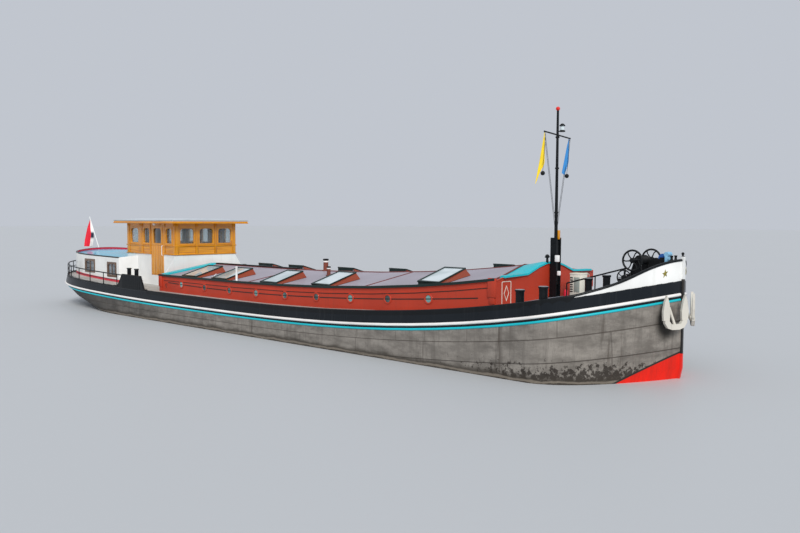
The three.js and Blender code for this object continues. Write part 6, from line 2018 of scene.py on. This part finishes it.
class BARGE_OT_stern_rail(bpy.types.Operator):
    """Two bars round the stern on turned stanchions: the stations' curve, smoothed, carries the bars"""

    bl_idname = "barge.stern_rail"
    bl_label = "Stern rail"

    def execute(self, context):
        raised = 0.05
        stations = np.array([18.075, 18.42, 19.36, 20.34, 21.24, 22.1, 22.85, 23.4, 23.8, 24.06, 24.2])
        posts = (1, 2, 3, 4, 5, 6, 7, 8, 10)
        half = deck_edge(stations) - 0.025
        half[-1] = 0.26
        foot = at(stations, -half, strake_height(stations) + DECK_RISE + raised)
        fine = np.linspace(0, len(foot) - 1, 61)
        curve = np.stack([np.interp(fine, np.arange(len(foot)), foot[:, k]) for k in range(3)], axis=-1)
        for _ in range(4):
            curve[1:-1] = (curve[:-2] + 2 * curve[1:-1] + curve[2:]) / 4
        whole = np.vstack([curve, mirrored(curve[::-1])])
        shape = Shape()
        shape.grid(tube(whole + [0, 0, RAIL_HIGH], 0.02, 10), caps=True)
        first = 6
        lower = np.vstack([curve[first:], mirrored(curve[first:][::-1])])
        shape.grid(tube(lower + [0, 0, RAIL_LOW], 0.012, 8), caps=True)
        for k in posts:
            for side in (-1, 1):
                low = foot[k] if side < 0 else mirrored(foot[k])
                shape.grid(turned([(0, -0.01), (0.032, -0.01), (0.032, 0.008), (0.016, 0.014), (0.014, 0.19),
                                   (0.022, 0.193), (0.022, 0.208), (0.014, 0.211), (0.014, 0.38),
                                   (0, RAIL_HIGH)], low, sides=10))
        shape.make("stern_rail_pipes", ["black"], replaces=["stern_rail"], slot="black_steel")
        return {"FINISHED"}


class BARGE_OT_stern_trim(bpy.types.Operator):
    """Heads of the stern bollards, the quarters' edges and their upright ribs"""

    bl_idname = "barge.stern_trim"
    bl_label = "Stern trim"

    def execute(self, context):
        trim = Shape()
        for side in (-1, 1):
            for aft in (17.65, 18.13):
                top = at(aft, side * 2.2, float(deck_height(aft, 2.2)) + 0.645)
                trim.grid(turned([(0, -0.01), (0.074, -0.01), (0.076, 0.002), (0.06, 0.008), (0, 0.01)], top,
                                 sides=20), slot=1)
            run = np.array([16.51, 16.66, 16.87, 17.2, 17.6, 18.03, 18.34, 18.6])
            lift = np.array([0.05, 0.05, 0.465, 0.465, 0.465, 0.465, 0.05, 0.05])
            path = at(run, side * (deck_edge(run) - 0.024), strake_height(run) + DECK_RISE + lift + 0.006)
            trim.grid(sweep(path, rounded((-0.034, -0.012), (0.034, 0.01), 0.007, 2), upright=True),
                      caps=True)
            ribs = np.linspace(16.92, 17.98, 9)
            for aft in ribs:
                base = float(strake_height(aft) + DECK_RISE)
                edge = float(deck_edge(aft))
                trim.grid(block(at(aft - 0.012, side * (edge - 0.004), base + 0.03),
                                at(aft + 0.012, side * (edge + 0.008), base + 0.44), 0.004), slot=2)
        trim.make("stern_trim", ["dull_black", "grey", "black"], slot="black_steel")
        return {"FINISHED"}


# Stage and finishes


class BARGE_OT_stage(bpy.types.Operator):
    """Floor at the waterline, soft light and the camera at the photograph's angle"""

    bl_idname = "barge.stage"
    bl_label = "Stage"

    def execute(self, context):
        view = context.scene.barge_view
        mesh = bpy.data.meshes.new("floor")
        reach = 400.0
        corners = [(-reach, -reach, DRAFT), (reach, -reach, DRAFT), (reach, reach, DRAFT),
                   (-reach, reach, DRAFT)]
        mesh.from_pydata(corners, [], [(0, 1, 2, 3)])
        floor = bpy.data.objects.new("floor", mesh)
        context.scene.collection.objects.link(floor)
        pale, g, shader, spot = new_finish("pale_floor")
        g.feed(shader.inputs["Roughness"], g.math("MULTIPLY_ADD", g.noise(spot, 0.4, 2.0), 0.1, 0.5))
        shader.inputs["Base Color"].default_value = (0.52, 0.54, 0.56, 1)
        mesh.materials.append(pale)

        world = bpy.data.worlds.new("studio")
        world.use_nodes = True
        world.node_tree.nodes["Background"].inputs["Color"].default_value = (0.86, 0.91, 1.0, 1)
        world.node_tree.nodes["Background"].inputs["Strength"].default_value = view.sky
        context.scene.world = world

        key = bpy.data.lights.new("key", "SUN")
        key.energy = view.sun
        key.angle = math.radians(25)
        key.color = (1.0, 0.97, 0.92)
        lamp = bpy.data.objects.new("key", key)
        lamp.rotation_euler = Vector((-0.62, 0.50, -0.62)).to_track_quat("-Z", "Y").to_euler()
        context.scene.collection.objects.link(lamp)

        forward = np.array([math.cos(view.pitch) * math.cos(view.yaw),
                            math.cos(view.pitch) * math.sin(view.yaw), math.sin(view.pitch)])
        right = np.array([math.sin(view.yaw), -math.cos(view.yaw), 0.0])
        up = np.cross(right, forward)
        turn = (math.cos(view.roll), math.sin(view.roll))
        right, up = turn[0] * right + turn[1] * up, turn[0] * up - turn[1] * right
        eye = bpy.data.cameras.new("eye")
        eye.lens = view.lens
        eye.sensor_width = 36
        eye.clip_end = 2000
        camera = bpy.data.objects.new("eye", eye)
        rotation = Matrix([right, up, -forward]).transposed()
        camera.matrix_world = Matrix.Translation(Vector(place(*view.eye))) @ rotation.to_4x4()
        context.scene.collection.objects.link(camera)
        context.scene.camera = camera
        context.scene.view_settings.view_transform = "Standard"
        return {"FINISHED"}


class BARGE_OT_finishes(bpy.types.Operator):
    """Makes the finishes and gives them to the CAD parts"""

    bl_idname = "barge.finishes"
    bl_label = "Finishes"

    def execute(self, context):
        make_finishes()
        dress("deck", "hull")
        dress("strake_white", "strake_white")
        dress("turquoise", "strake_turquoise", "cap_fore", "cap_aft")
        dress("stem", "stem_bar")
        dress("black", "gunwale_cap", "stern_bulwark", "stern_rail", "rudder", "tabernacle", "mast",
              "rail_bollards_stbd", "rail_bollards_port", "fore_bollards_stbd", "fore_bollards_port")
        dress("dull_black", "windlass_frame", "windlass_shaft")
        dress("white", "bow_bulwark", "wheelhouse_base", "flagstaff")
        dress("cabin", "cabin_walls")
        dress("red", "coaming_stbd", "coaming_port", "headboard_fore", "headboard_aft")
        dress("cover", "hatch_cover_fore", "hatch_cover_mid", "hatch_cover_aft")
        dress("cabin_roof", "cabin_roof")
        dress("bronze", "propeller")
        dress("blue", "engine")
        dress("cream", "locker")
        dress("anchor", "anchor_stbd", "anchor_port")
        dress("rusty", "stack")
        dress("wood_y", "wheelhouse_front", "wheelhouse_back")
        dress("wood_x", "wheelhouse_side_stbd", "wheelhouse_side_port", "helm_console")
        dress("roof", "wheelhouse_roof")
        dress("wood_z", "wheelhouse_door_stbd", "wheelhouse_door_port", "helm_wheel")
        dress("glass", "wheelhouse_glass_fore", "wheelhouse_glass_aft")
        dress("dark_trim", *[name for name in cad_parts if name.startswith("skylight_lid")])
        dress("flag", "flag")
        dress("pennant_yellow", "pennant_yellow")
        dress("pennant_blue", "pennant_blue")
        return {"FINISHED"}


class BARGE_PT_panel(bpy.types.Panel):
    """Lists the barge's pieces in the sidebar"""

    bl_idname = "BARGE_PT_panel"
    bl_label = "Barge"
    bl_space_type = "VIEW_3D"
    bl_region_type = "UI"
    bl_category = "Barge"

    def draw(self, context):
        for operator in OPERATORS:
            self.layout.operator(operator.bl_idname)


OPERATORS = (BARGE_OT_stage, BARGE_OT_finishes, BARGE_OT_plating, BARGE_OT_rubbing_bars, BARGE_OT_bow_panel,
             BARGE_OT_gunwale, BARGE_OT_stem_knob, BARGE_OT_bow_stars, BARGE_OT_coaming_trim,
             BARGE_OT_portholes, BARGE_OT_ridge_plank, BARGE_OT_cover_laths, BARGE_OT_cover_posts,
             BARGE_OT_skylights, BARGE_OT_skylight_boards, BARGE_OT_stove_pipes, BARGE_OT_headboard_borders,
             BARGE_OT_headboard_moulding, BARGE_OT_window_frames, BARGE_OT_wheelhouse_posts,
             BARGE_OT_wheelhouse_mouldings, BARGE_OT_wheelhouse_doors, BARGE_OT_roof_moulding,
             BARGE_OT_eave_lamp, BARGE_OT_cabin_rim, BARGE_OT_cabin_windows, BARGE_OT_flag, BARGE_OT_pennants,
             BARGE_OT_halyards, BARGE_OT_mast_gear, BARGE_OT_tabernacle_lamps, BARGE_OT_mast_block,
             BARGE_OT_mast_foot_posts, BARGE_OT_bollards, BARGE_OT_windlass_wheels, BARGE_OT_windlass_gear,
             BARGE_OT_bow_rollers, BARGE_OT_locker, BARGE_OT_handrail, BARGE_OT_stern_rail,
             BARGE_OT_stern_trim)
GROUPS = (BargeColours, BargeSizes, BargeView)
CLASSES = GROUPS + OPERATORS + (BARGE_PT_panel,)


def register():
    for item in CLASSES:
        bpy.utils.register_class(item)
    bpy.types.Scene.barge_colours = PointerProperty(type=BargeColours)
    bpy.types.Scene.barge_sizes = PointerProperty(type=BargeSizes)
    bpy.types.Scene.barge_view = PointerProperty(type=BargeView)


def unregister():
    del bpy.types.Scene.barge_view
    del bpy.types.Scene.barge_sizes
    del bpy.types.Scene.barge_colours
    for item in reversed(CLASSES):
        bpy.utils.unregister_class(item)


def main():
    """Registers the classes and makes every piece."""
    register()
    for operator in OPERATORS:
        group, name = operator.bl_idname.split(".")
        getattr(getattr(bpy.ops, group), name)()


if __name__ == "__main__":
    main()
